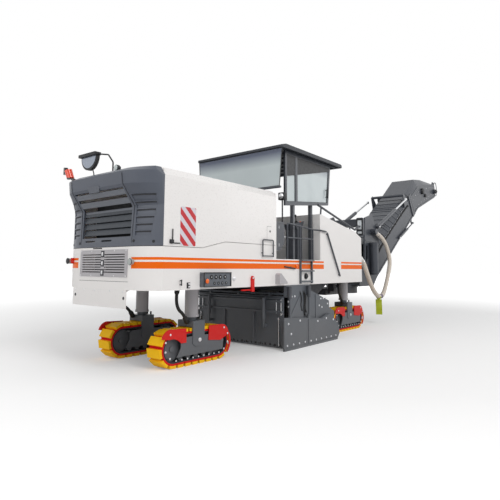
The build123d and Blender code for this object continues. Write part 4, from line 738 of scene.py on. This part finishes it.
class PLANER_OT_dust_hose(bpy.types.Operator):
    """Makes the ribbed dust hose between the front body and the mast, with its clamps, strap and tag"""

    bl_idname = "planer.dust_hose"
    bl_label = "Dust hose"

    def ribbed_tube(self, line, radius):
        """Hose whose radius swings with the pitch of its ribs."""
        rib_pitch, rib_depth = 0.045, 0.0015
        travelled, radii = 0.0, []
        for before, point in zip([line[0]] + line, line):
            travelled += (point - before).length
            radii.append(radius - rib_depth - rib_depth * math.cos(travelled * 2 * math.pi / rib_pitch))
        build = bmesh.new()
        sweep(build, line, radii, 20)
        return piece_from(build, "ribbed_dust_hose", "hose_fabric")

    def add_sleeve(self, build, spot, run, radius, half_length, bevel, wall):
        """Ring around the hose."""
        flat = half_length - bevel
        add_turned(build, spot, run, [(-half_length, radius + 0.001), (-flat, radius + wall),
                                      (flat, radius + wall), (half_length, radius + 0.001)], 28)

    def hanging_tag(self, top, width, drop):
        """Thin flexible tag, waved a little, below its loop and turned to the right rear."""
        rows, columns = 12, 4
        build = bmesh.new()
        grid = []
        for row in range(rows + 1):
            sway = 0.010 * math.sin(row * 0.75) - 0.003 * row
            line_down = []
            for column in range(columns + 1):
                across = width * (column / columns - 0.5)
                ripple = 0.004 * math.sin(column * 1.7 + row * 0.4) + sway
                line_down.append(build.verts.new((top.x + 0.5 * across + 0.86 * ripple,
                                                  top.y - 0.866 * across + 0.5 * ripple,
                                                  top.z - 0.002 - drop * row / rows)))
            grid.append(line_down)
        for upper, lower in zip(grid, grid[1:]):
            for column in range(columns):
                build.faces.new((upper[column], upper[column + 1], lower[column + 1], lower[column]))
        return piece_from(build, "hose_tag", "tag_green")

    def execute(self, context):
        diameter = context.scene.planer_sizes.hose_diameter
        radius = diameter / 2
        route = [at(*point) for point in HOSE_ROUTE]
        line = smooth_line(route, 44)
        hose = self.ribbed_tube(line, radius)

        def along_line(share):
            index = int(share * (len(line) - 2))
            return line[index], (line[index + 1] - line[index]).normalized()

        build = bmesh.new()
        for share in (0.012, 0.03, 0.965, 0.985):
            self.add_sleeve(build, *along_line(share), radius, 0.011, 0.002, 0.004)
        clamps = piece_from(build, "hose_clamps", "bright_steel")

        build = bmesh.new()
        self.add_sleeve(build, *along_line(0.405), radius, 0.070, 0.004, 0.006)
        strap = piece_from(build, "hose_strap", "strap_purple")

        # The tag hangs from a loop around the hose's lowest part
        tag_top, tag_width, tag_drop = at(8.36, -0.822, 0.68), 0.17, 0.42
        build = bmesh.new()
        loop_middle = tag_top + Vector((0, 0, radius + 0.001))
        self.add_sleeve(build, loop_middle, (1, 0.12, 0), radius, 0.030, 0.002, 0.005)
        loop = piece_from(build, "tag_loop", "tag_green")
        tag = self.hanging_tag(tag_top, tag_width, tag_drop)
        for piece in (hose, clamps, strap, loop, tag):
            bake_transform(piece)
        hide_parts("dust_hose")
        return {"FINISHED"}


class PLANER_OT_rear_fittings(bpy.types.Operator):
    """Makes the seams, bolts and clips of the rear face, and dark discs of painted shade for its two openings
    """

    bl_idname = "planer.rear_fittings"
    bl_label = "Rear fittings"

    def execute(self, context):
        clip_heights = (1.46, 1.60, 1.74)
        build = bmesh.new()
        add_box(build, at(-0.0015, -0.645, 1.327), at(0.001, 0.645, 1.332), 0.0005)
        add_box(build, at(-0.0015, 0.04, 1.820), at(0.001, 0.29, 1.838), 0.0005)
        # Dark discs of painted shade where two openings stand in the rear face
        for y, z in ((0.745, 1.100), (-0.545, 1.090)):
            add_turned(build, at(0.001, y, z), REARWARD, [(0, 0.024), (0.0015, 0.024), (0.002, 0.020)], 20)
        for z in clip_heights:
            add_box(build, at(-0.0135, -0.045, z - 0.05), at(-0.0115, 0.045, z + 0.05), 0.0005)
        piece_from(build, "rear_seams_and_opening_shade", "dark_seams_and_painted_shade", "machine")

        build = bmesh.new()
        for z in clip_heights:
            add_box(build, at(-0.024, -0.016, z - 0.03), at(-0.013, 0.016, z + 0.03), 0.003)
            add_turned(build, at(-0.024, 0, z), REARWARD, [(0, 0.009), (0.006, 0.009), (0.008, 0.006)], 14)
        for y in (-0.59, -0.30, 0.30, 0.59):
            for z in (1.412, 1.788):
                add_bolt(build, at(-0.012, y, z), REARWARD, 0.007)
        for y in (-0.52, -0.2, 0.2, 0.5, 0.74):
            add_bolt(build, at(0.0, y, 1.185), REARWARD, 0.009)
        piece_from(build, "rear_bolts", "zinc_bolt", "machine")

        build = bmesh.new()
        for y, z in ((-0.72, 1.62), (0.96, 1.64)):
            add_turned(build, at(-0.034, y, z), REARWARD,
                       [(0, 0.046), (0.004, 0.050), (0.010, 0.050), (0.012, 0.046)], 24)
        piece_from(build, "rear_lamp_rims", "black_plastic", "machine")
        return {"FINISHED"}


class PLANER_OT_hood_fittings(bpy.types.Operator):
    """Makes the hazard plates, mirror glass, screws, seams, dark strips of painted shade along the vents and
    tab that move with the engine hood
    """

    bl_idname = "planer.hood_fittings"
    bl_label = "Hood fittings"

    def execute(self, context):
        plates, glass, lens, seams, screws, tab = (bmesh.new() for kind in range(6))
        mirror_y, mirror_z, mirror_radius = 0.58, 3.372, 0.205
        lower_half = [math.pi + math.pi * step / 20 for step in range(21)]
        add_slab(glass, [at(0.034, mirror_y + mirror_radius * math.cos(angle),
                            mirror_z + 0.96 * mirror_radius * math.sin(angle)) for angle in lower_half],
                 (-0.004, 0, 0))
        add_turned(lens, at(-0.0105, -0.25, 3.065), REARWARD,
                   [(0, 0.044), (0.003, 0.044), (0.006, 0.036), (0.008, 0.02)], 24)
        for side in SIDES:
            out = (0, side, 0)
            outline = ((0.505, 1.872), (0.525, 1.862), (0.800, 1.862), (0.820, 1.872), (0.820, 2.435),
                       (0.800, 2.447), (0.525, 2.447), (0.505, 2.435))
            add_slab(plates, [at(x, side * 1.1735, z) for x, z in outline], (0, side * 0.004, 0))
            # Hand plate and lock
            for x_low, x_high, z_low, z_high in ((2.64, 2.78, 2.30, 2.304), (2.64, 2.644, 2.06, 2.30),
                                                 (2.64, 2.78, 2.06, 2.064)):
                add_box(seams, at(x_low, side * HOOD_FACE, z_low), at(x_high, side * 1.1755, z_high), 0.0004)
            add_turned(seams, at(2.735, side * HOOD_FACE, 2.215), out,
                       [(0, 0.020), (0.003, 0.020), (0.006, 0.012)], 20)
            # Seam beside the grille, from the cap down
            seam = [at(-0.198, side * 0.675, 2.905), at(-0.182, side * 0.680, 2.752),
                    at(0.034, side * 0.695, 2.44), at(0.017, side * 0.670, 1.90)]
            for start, end in zip(seam, seam[1:]):
                add_rod(seams, start, end, 0.0045, 8)
            # Dark strip of painted shade along the top of each side vent
            vent_start = 0.745
            for vent_top, vent_end in ((2.068, 1.00), (2.170, 1.015), (2.276, 1.035), (2.384, 1.055),
                                       (2.492, 1.075), (2.600, 1.085)):
                gap = []
                for step in range(12):
                    y = side * (vent_start + (vent_end - vent_start) * step / 11)
                    seat = touch("rear_hood", at(-0.6, y, vent_top - 0.012), (1, 0, 0))
                    if seat:
                        gap.append(seat[0])
                if len(gap) > 1:
                    sweep(seams, gap, [0.010] * len(gap), 8)
            for start, direction in ((at(-0.4, side * 0.715, 1.925), (1, 0, 0)),
                                     (at(0.112, side * 1.5, 1.911), (0, -side, 0))):
                seat = touch("rear_hood", start, direction)
                if seat:
                    add_turned(screws, *seat,
                               [(-0.002, 0.022), (0.004, 0.022), (0.006, 0.016), (0.0045, 0.010)], 18)
        # Stand with its marker block beside the right hazard plate
        add_box(screws, at(0.300, -1.2000, 1.885), at(0.372, -1.1745, 1.945), 0.006)
        add_rod(screws, at(0.352, -1.188, 1.94), at(0.352, -1.188, 2.10), 0.008)
        add_rod(screws, at(0.365, -1.186, 1.895), at(0.500, -1.182, 1.895), 0.008)
        # Bare tab in the middle below the cap
        add_slab(tab, [at(-0.186, -0.100, 2.775), at(-0.158, -0.075, 2.678), at(-0.158, 0.195, 2.678),
                       at(-0.186, 0.220, 2.775)], (-0.006, 0, 0))
        piece_from(plates, "hazard_plates", "hazard_plate", "hood", flat=True)
        piece_from(glass, "hood_mirror_glass", "mirror_glass", "hood", flat=True)
        piece_from(lens, "hood_lamp_lens", "lamp_clear", "hood")
        # The hood's seams and the painted shade along the vents share one dark piece
        piece_from(seams, "hood_seams_and_vent_shade", "dark_seams_and_painted_shade", "hood")
        piece_from(screws, "hood_screws", "black_plastic", "hood")
        piece_from(tab, "hood_tab", "slate_hood", "hood", flat=True)
        return {"FINISHED"}


class PLANER_OT_side_fittings(bpy.types.Operator):
    """Makes the control boxes' dials and knobs, handles, caps, chocks and the bars beside the lifting eyes"""

    bl_idname = "planer.side_fittings"
    bl_label = "Side fittings"

    def execute(self, context):
        rims, knobs, dark, light, red, pale = (bmesh.new() for kind in range(6))
        dials = [(x, 1.395, 0.034) for x in (1.09, 1.19, 1.29, 1.40)]
        dials += [(x, 1.300, 0.024) for x in (1.16, 1.25, 1.34, 1.43)]
        for side in SIDES:
            out = (0, side, 0)
            sunk_y = side * (BOX_FACE - 0.002)
            for x, z, radius in dials:
                add_turned(dark, at(x, sunk_y, z), out,
                           [(0, radius), (0.008, radius), (0.010, radius * 0.8), (0.006, radius * 0.72),
                            (0.006, 0.002)], 24)
                add_turned(rims, at(x, side * (BOX_FACE + 0.0035), z), out,
                           [(0, radius * 0.3), (0.003, radius * 0.3), (0.004, radius * 0.2)], 14)
            add_turned(knobs, at(0.985, sunk_y, 1.335), out,
                       [(0, 0.022), (0.010, 0.022), (0.012, 0.034), (0.022, 0.036), (0.028, 0.028),
                        (0.030, 0.01)], 24)
            # Hood and rim of the box
            y_low, y_high = sorted((side * (BOX_FACE - 0.004), side * 1.2785))
            for x_low, x_high, z_low, z_high in ((0.920, 1.550, 1.455, 1.470), (0.922, 0.934, 1.244, 1.460),
                                                 (1.535, 1.547, 1.244, 1.460), (0.922, 1.547, 1.244, 1.254)):
                add_box(dark, at(x_low, y_low, z_low), at(x_high, y_high, z_high), 0.003)
            # Handle in front of the leg
            for z in (1.29, 1.35):
                add_rod(dark, at(0.52, side * SKIRT_FACE, z), at(0.52, side * 1.215, z), 0.008)
            add_rod(dark, at(0.52, side * 1.212, 1.275), at(0.52, side * 1.212, 1.365), 0.009)
            chock = ((2.90, 1.245), (3.16, 1.245), (3.16, 1.275), (2.96, 1.440), (2.925, 1.440), (2.90, 1.41))
            add_slab(pale, [at(x, side * SKIRT_FACE, z) for x, z in chock], (0, side * 0.10, 0))
            # Filler on the sill behind the ladder
            add_turned(dark, at(3.96, side * SKIRT_FACE, 1.375), out,
                       [(0, 0.060), (0.012, 0.060), (0.016, 0.046), (0.034, 0.046), (0.040, 0.038)], 28)
            y_low, y_high = sorted((side * SKIRT_FACE, side * 1.190))
            add_box(dark, at(0.655, y_low, 1.235), at(0.715, y_high, 1.32), 0.004)
            for z in (1.258, 1.298):
                add_turned(light, at(0.685, side * 1.188, z), out,
                           [(0, 0.014), (0.016, 0.014), (0.020, 0.010)], 16)
            for x in (1.632, 1.722):
                add_turned(light, at(x, side * SKIRT_FACE, 1.362), out,
                           [(0, 0.036), (0.014, 0.036), (0.022, 0.030), (0.030, 0.014)], 28)
            add_turned(light, at(2.2025, side * 1.204, 1.365), out,
                       [(0, 0.015), (0.003, 0.015), (0.004, 0.011)], 18)
            y_low, y_high = sorted((side * 1.150, side * 1.192))
            add_box(red, at(1.93, y_low, 1.150), at(2.172, y_high, 1.172), 0.003)
        piece_from(rims, "control_dials", "bright_steel", "machine")
        piece_from(knobs, "control_knobs", "knob_orange", "machine")
        piece_from(dark, "side_hardware", "black_plastic", "machine")
        piece_from(light, "side_caps", "zinc_bolt", "machine")
        piece_from(red, "lifting_eye_bars", "red_steel", "machine")
        piece_from(pale, "wheel_chocks", "louvre_metal", "machine", flat=True)
        return {"FINISHED"}


class PLANER_OT_undercarriage(bpy.types.Operator):
    """Makes the guard bolts, hub covers and pressure hoses of the four tracks"""

    bl_idname = "planer.undercarriage"
    bl_label = "Undercarriage"

    def execute(self, context):
        loop_end, bolt_circle, loop_z = 0.50, 0.205, 0.345
        for corner in CORNERS:
            side = -1 if corner.endswith("right") else 1
            distance = (rear_track_x if corner.startswith("rear") else front_track_x) - rear_x
            body = f"{corner}_leg"
            bolts, hoses = bmesh.new(), bmesh.new()
            for end in SIDES:
                for degrees in (-60, -20, 20, 60):
                    angle = math.radians(degrees)
                    along = distance + end * (loop_end + bolt_circle * math.cos(angle))
                    add_bolt(bolts, at(along, side * GUARD_FACE, loop_z + bolt_circle * math.sin(angle)),
                             (0, side, 0), 0.011)
            for step in range(9):
                add_bolt(bolts, at(distance - 0.48 + step * 0.12, side * GUARD_FACE, 0.122),
                         (0, side, 0), 0.009)
            add_turned(bolts, at(distance + 0.02, side * 0.8265, 0.384), (0, side, 0),
                       [(0, 0.032), (0.010, 0.032), (0.014, 0.026), (0.014, 0.012), (0.020, 0.010)], 24)
            piece_from(bolts, f"guard_bolts_{corner}", "zinc_bolt", body)

            add_hose(hoses, [at(distance - 0.40, side * 0.735, 1.235), at(distance - 0.43, side * 0.735, 1.05),
                             at(distance - 0.38, side * 0.735, 0.88), at(distance - 0.24, side * 0.715, 0.80),
                             at(distance - 0.15, side * 0.700, 0.66)], 0.026, 14)
            for y in (0.61, 0.71):
                add_rod(hoses, at(distance + 0.175, side * y, 0.655),
                        at(distance + 0.175, side * y, 0.735), 0.016)
            hose = piece_from(hoses, f"leg_hoses_{corner}", "black_rubber")
            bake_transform(hose)
        return {"FINISHED"}


class PLANER_OT_housing_fittings(bpy.types.Operator):
    """Makes the bolts, hoses and rods on the drum housing, its side plates and the scraper"""

    bl_idname = "planer.housing_fittings"
    bl_label = "Housing fittings"

    def execute(self, context):
        bolts, hoses, rods, screws = (bmesh.new() for kind in range(4))
        thick_plate_start = 3.90
        plate_bolts = [(3.16 + step * 0.205, 0.095, 0.012) for step in range(10)]
        plate_bolts += [(x, z, 0.014) for x, z in ((3.20, 0.49), (3.29, 0.30), (4.25, 0.46), (4.60, 0.49),
                                                   (4.90, 0.44), (3.60, 0.52))]
        for side, name in zip(SIDES, ("right", "left")):
            plate = bmesh.new()
            for x, z, radius in plate_bolts:
                face = THIN_PLATE_FACE if x < thick_plate_start else THICK_PLATE_FACE
                add_bolt(plate, at(x, side * face, z), (0, side, 0), radius)
            piece_from(plate, f"side_plate_bolts_{name}", "zinc_bolt", f"{name}_side_plate")
            for x, z in ((3.42, 0.99), (3.52, 0.99), (3.30, 0.80), (3.30, 0.90), (4.52, 0.90), (4.62, 0.90),
                         (4.72, 0.90), (4.45, 0.76), (4.56, 0.72), (4.80, 0.78)):
                add_bolt(bolts, at(x, side * HOUSING_FACE, z), (0, side, 0), 0.013)
            for x, shorter in ((3.735, 0.10), (3.845, 0.0), (3.885, 0.06)):
                add_hose(hoses, [at(x - 0.03, side * 1.165, 1.10), at(x - 0.02, side * 1.214, 1.06),
                                 at(x + 0.01, side * 1.214, 0.88), at(x - 0.03, side * 1.214, 0.72 + shorter),
                                 at(x + 0.03, side * 1.205, 0.60 + shorter)], 0.0095)
            for y, z_low, z_high in ((0.99, 0.67, 0.93), (1.10, 0.63, 0.94), (1.045, 0.06, 0.60)):
                add_rod(rods, at(3.19, side * y, z_low), at(3.19, side * y, z_high), 0.011)
                y_low, y_high = sorted((side * (y - 0.02), side * (y + 0.02)))
                for z in (z_low + 0.03, z_high - 0.03):
                    add_box(rods, at(3.185, y_low, z - 0.012), at(3.252, y_high, z + 0.012), 0.002)
        # Lever of the scraper with its foot
        add_rod(rods, at(3.236, -0.665, 0.165), at(3.236, -0.665, 0.50), 0.012)
        add_rod(rods, at(3.236, -0.660, 0.175), at(3.236, -0.53, 0.175), 0.012)
        # Bolts along the blade's edge; none where the line passes through a gap in the blade
        for step in range(17):
            seat = touch("scraper_blade", at(2.9, -0.94 + step * 0.1175, 0.078), (1, 0, 0))
            if seat:
                add_bolt(screws, *seat, 0.015)
        piece_from(rods, "scraper_rods", "bright_steel", "scraper")
        piece_from(screws, "scraper_bolts", "black_plastic", "scraper")
        piece_from(bolts, "housing_bolts", "zinc_bolt", "machine")
        piece_from(hoses, "housing_hoses", "black_rubber", "machine")
        return {"FINISHED"}


class PLANER_OT_platform_fittings(bpy.types.Operator):
    """Makes the operator stations' panels and levers, cabinet doors, step treads, window edging and dark sheets
    of painted shade under the roof
    """

    bl_idname = "planer.platform_fittings"
    bl_label = "Platform fittings"

    def add_console(self, dark, knobs, side):
        """Rows of buttons, a lever and two knobs on the sloping console panel."""
        slope = Vector((0.36, 0, 0.08)).normalized()
        normal = Vector((-slope.z, 0, slope.x))
        base = at(4.06, side * 0.71, 2.48) + normal * 0.001
        for row in range(3):
            for column in range(5):
                spot = base + slope * (0.06 + row * 0.055) + Vector((0, -0.11 + column * 0.045, 0))
                add_turned(dark, spot, normal, [(0, 0.014), (0.006, 0.014), (0.009, 0.010)], 12)
        lever = base + slope * 0.28
        add_turned(dark, lever, normal, [(0, 0.036), (0.010, 0.034), (0.024, 0.020), (0.030, 0.010),
                                         (0.110, 0.009), (0.115, 0.020), (0.150, 0.023), (0.168, 0.014)], 18)
        for y in (-0.10, 0.10):
            add_turned(knobs, lever + Vector((0, y, 0)), normal,
                       [(0, 0.018), (0.010, 0.018), (0.014, 0.012)], 16)

    def add_cabinet_and_steps(self, dark, steel, side):
        """Hinges, lock and seams of the cabinet door, and the teeth along each ladder step."""
        for z in (1.98, 2.32):
            add_rod(steel, at(3.075, side * 1.1352, z - 0.03), at(3.075, side * 1.1352, z + 0.03), 0.008, 12)
        add_turned(steel, at(3.27, side * CABINET_FACE, 2.14), (0, side, 0),
                   [(0, 0.018), (0.006, 0.018), (0.01, 0.008)], 18)
        for z in (1.93, 2.39):
            add_box(dark, at(3.06, side * CABINET_FACE - 0.001, z),
                    at(3.31, side * CABINET_FACE + 0.001, z + 0.004), 0.0004)
        for z, depth in ((1.285, 0.045), (1.495, 0.08), (1.705, 0.08)):
            y_low, y_high = sorted((side * 1.182, side * (1.172 + depth)))
            for tooth in range(14):
                x = 3.745 + tooth * 0.031
                add_box(steel, at(x, y_low, z - 0.002), at(x + 0.008, y_high, z + 0.006), 0.001)

    def add_window(self, dark, side):
        """Rubber edging around the two side windows, and the handle on the large one."""
        for outline in (((3.88, 2.915), (5.11, 3.03), (5.21, 3.85), (3.88, 3.85)),
                        ((3.49, 2.875), (3.80, 2.908), (3.80, 3.85), (3.49, 3.85))):
            add_frame(dark, [at(x, side * WINDOW_FACE, z) for x, z in outline], 0.009)
        for z in (3.16, 3.32):
            add_rod(dark, at(5.085, side * WINDOW_FACE, z), at(5.085, side * 1.075, z), 0.012, 12)
        add_rod(dark, at(5.085, side * 1.075, 3.13), at(5.095, side * 1.075, 3.35), 0.014, 14)

    def execute(self, context):
        dark, steel, knobs, roof_shade = (bmesh.new() for kind in range(4))
        for side in SIDES:
            self.add_console(dark, knobs, side)
            self.add_cabinet_and_steps(dark, steel, side)
            self.add_window(dark, side)
            # Work lamp between cabinet and canopy
            lamp = at(3.255, side * 1.06, 2.955)
            add_box(dark, lamp + Vector((0, -0.075, -0.075)), lamp + Vector((0.10, 0.075, 0.075)), 0.012)
            add_rod(dark, at(3.30, side * 1.06, 2.425), at(3.30, side * 1.06, 2.90), 0.014, 12)
            add_turned(steel, lamp + Vector((0.001, 0, 0)), REARWARD,
                       [(0, 0.056), (0.006, 0.054), (0.010, 0.030)], 24)
            # Dark sheet of painted shade under the roof, over the top of the side windows
            add_slab(roof_shade, [at(x, side * 1.034, z) for x, z in ((3.49, 3.40), (5.19, 3.765), (5.21, 3.85),
                                                                  (3.49, 3.85))], (0, side * 0.006, 0))
            # Button and lever on the sill
            seat = touch("side_sills", at(3.62, side * 1.6, 1.578), (0, -side, 0))
            if seat:
                place, normal = seat
                add_turned(knobs, place, normal, [(-0.002, 0.040), (0.020, 0.040), (0.030, 0.030)], 22)
                for start, end, radius in (((-0.44, 0.020, -0.01), (-0.07, 0.020, -0.05), 0.013),
                                           ((-0.22, -0.002, -0.03), (-0.22, 0.024, -0.03), 0.018)):
                    add_rod(dark, place + Vector((start[0], side * start[1], start[2])),
                            place + Vector((end[0], side * end[1], end[2])), radius)
        # Edging of the rear window
        add_frame(dark, [at(3.168, y, z) for y, z in ((-1.085, 3.15), (1.085, 3.15), (1.148, 3.91),
                                                      (-1.148, 3.91))], 0.009)
        # Black sheets of painted shade under the roof
        piece_from(roof_shade, "painted_roof_shade", "black_plastic", "machine", flat=True)
        piece_from(dark, "platform_hardware", "black_plastic", "machine")
        piece_from(steel, "platform_metal", "bright_steel", "machine")
        piece_from(knobs, "platform_knobs", "knob_orange", "machine")
        return {"FINISHED"}


class PLANER_OT_conveyor_fittings(bpy.types.Operator):
    """Makes the conveyor's cover ribs, flange bolts, hoses, tip drive and the mirrors' glass beside it"""

    bl_idname = "planer.conveyor_fittings"
    bl_label = "Conveyor fittings"

    def dress_trunk(self):
        """Cover ribs, flange bolts and hoses of the lower section."""
        ribs, bolts, hoses = (bmesh.new() for kind in range(3))
        ahead = (on_trunk(1, 0, 0) - on_trunk(0, 0, 0)).normalized()
        for panel_start, panel_end, top in ((0.87, 2.00, 0.426), (2.00, 3.13, 0.438), (3.13, 4.25, 0.450)):
            for step in range(4):
                forward = panel_start + 0.10 + step * (panel_end - panel_start - 0.24) / 3
                outline = [(-0.538, 0.270), (-0.400, top), (0.400, top), (0.538, 0.270), (0.549, 0.274),
                           (0.405, top + 0.012), (-0.405, top + 0.012), (-0.549, 0.274)]
                add_slab(ribs, [on_trunk(forward, y, up) for y, up in outline], ahead * 0.035)
        hose_y = 0.565
        for side in SIDES:
            for step in range(14):
                for up in (0.256, -0.367):
                    add_bolt(bolts, on_trunk(0.85 + step * 0.24, side * TRUNK_FACE, up), (0, side, 0), 0.008)
            for forward, up in ((2.47, -0.300), (3.88, -0.512)):
                add_turned(bolts, on_trunk(forward, side * 0.6195, up), (0, side, 0),
                           [(0, 0.026), (0.006, 0.026), (0.009, 0.02)], 20)
            for lower in (0, 0.030):
                add_hose(hoses, [on_trunk(forward, side * hose_y, up - lower) for forward, up in (
                    (0.60, 0.14), (1.20, 0.215), (2.40, 0.220), (3.40, 0.215), (3.90, 0.170))], 0.0125)
            for forward in (1.3, 1.9, 2.5, 3.1):
                add_slab(hoses, [on_trunk(forward + x, side * 0.549, up) for x, up in
                                 ((0, 0.165), (0.04, 0.165), (0.04, 0.240), (0, 0.240))], (0, side * 0.030, 0))
        piece_from(ribs, "cover_ribs", "dark_paint", "trunk", flat=True)
        piece_from(bolts, "trunk_bolts", "zinc_bolt", "trunk")
        piece_from(hoses, "trunk_hoses", "black_rubber", "trunk")

    def dress_head(self):
        """Bolts, motors and tip drum hubs of the folding head."""
        bolts, drive = bmesh.new(), bmesh.new()
        hub_circle, wall_inside = 0.068, 0.5
        for side in SIDES:
            out, inward = (0, side, 0), (0, -side, 0)
            for x, z in ((12.15, 3.98), (12.45, 4.18), (12.75, 4.34), (13.05, 4.46), (13.35, 4.53),
                         (13.65, 4.60), (13.95, 4.66), (14.22, 4.70), (12.45, 3.72), (12.75, 3.88),
                         (13.05, 4.00), (13.35, 4.12), (13.65, 4.22), (13.95, 4.34), (14.22, 4.44)):
                seat = touch("conveyor_head", at(x, side * 1.2, z), inward)
                if seat and abs(seat[0].y) > wall_inside:
                    add_bolt(bolts, seat[0], out, 0.009)
            seat = touch("conveyor_head", at(14.555, side * 1.2, 4.590), inward)
            if seat:
                hub = seat[0]
                add_turned(drive, hub, out, [(-0.002, 0.085), (0.010, 0.085), (0.014, 0.070), (0.030, 0.066),
                                             (0.036, 0.050), (0.052, 0.046), (0.058, 0.030)], 28)
                for step in range(6):
                    angle = step * math.pi / 3
                    add_bolt(bolts, hub + Vector((hub_circle * math.cos(angle), side * 0.012,
                                                  hub_circle * math.sin(angle))), out, 0.007)
            for x, z, size, depth in ((13.14, 4.42, 0.115, 0.070), (13.47, 4.30, 0.070, 0.050)):
                seat = touch("conveyor_head", at(x, side * 1.2, z), inward)
                if seat:
                    add_turned(drive, seat[0], out, [(-0.004, size), (depth * 0.7, size),
                                                     (depth * 0.8, size * 0.8), (depth, size * 0.75)], 26)
        piece_from(bolts, "head_bolts", "zinc_bolt", "head")
        piece_from(drive, "tip_drum_hubs", "black_plastic", "head")

    def dress_mirrors(self):
        """Two panes in a thick rim for each front mirror; the panes' pale colour is a painted reflection of the
        white surroundings.
        """
        glass, rims = bmesh.new(), bmesh.new()
        half_width, half_edge, cut = 0.056, 0.050, 0.010
        for side in SIDES:
            middle = side * 1.10
            for z_low, z_high in ((2.525, 2.755), (2.415, 2.468)):
                outline = [(-half_edge, z_low), (half_edge, z_low), (half_width, z_low + cut),
                           (half_width, z_high - cut), (half_edge, z_high), (-half_edge, z_high),
                           (-half_width, z_high - cut), (-half_width, z_low + cut)]
                add_slab(glass, [at(6.6605, middle + y, z) for y, z in outline], (-0.004, 0, 0))
            near, far = middle - 0.070, middle + 0.070
            add_frame(rims, [at(6.660, near, 2.398), at(6.660, far, 2.398), at(6.660, far, 2.775),
                             at(6.660, near, 2.775)], 0.016)
            add_rod(rims, at(6.659, near, 2.496), at(6.659, far, 2.496), 0.012)
        piece_from(glass, "front_mirror_glass", "mirror_painted_reflection", "machine", flat=True)
        piece_from(rims, "front_mirror_rims", "black_plastic", "machine")

    def execute(self, context):
        self.dress_trunk()
        self.dress_head()
        self.dress_mirrors()
        caps = bmesh.new()
        for side in SIDES:
            add_turned(caps, at(8.75, side * 0.742, 2.76), (0, side, 0),
                       [(-0.004, 0.030), (0.006, 0.030), (0.010, 0.022)], 20)
        piece_from(caps, "stay_pin_caps", "zinc_bolt", "stay_barrel_pair")
        return {"FINISHED"}


class PLANER_PT_panel(bpy.types.Panel):
    """Lists the steps that dress the cold planer"""

    bl_label = "Cold planer"
    bl_idname = "PLANER_PT_panel"
    bl_space_type = "VIEW_3D"
    bl_region_type = "UI"
    bl_category = "Cold planer"

    def draw(self, context):
        for operator in OPERATORS:
            self.layout.operator(operator.bl_idname)


OPERATORS = (PLANER_OT_stage, PLANER_OT_finishes, PLANER_OT_dust_hose, PLANER_OT_rear_fittings,
             PLANER_OT_hood_fittings, PLANER_OT_side_fittings, PLANER_OT_undercarriage,
             PLANER_OT_housing_fittings, PLANER_OT_platform_fittings, PLANER_OT_conveyor_fittings)
CLASSES = (PlanerColours, PlanerSizes, *OPERATORS, PLANER_PT_panel)


def register():
    for cls in CLASSES:
        bpy.utils.register_class(cls)
    bpy.types.Scene.planer_colours = bpy.props.PointerProperty(type=PlanerColours)
    bpy.types.Scene.planer_sizes = bpy.props.PointerProperty(type=PlanerSizes)


def unregister():
    del bpy.types.Scene.planer_sizes
    del bpy.types.Scene.planer_colours
    for cls in reversed(CLASSES):
        bpy.utils.unregister_class(cls)


def main():
    register()
    for operator in OPERATORS:
        family, step = operator.bl_idname.split(".")
        getattr(getattr(bpy.ops, family), step)()


if __name__ == "__main__":
    main()
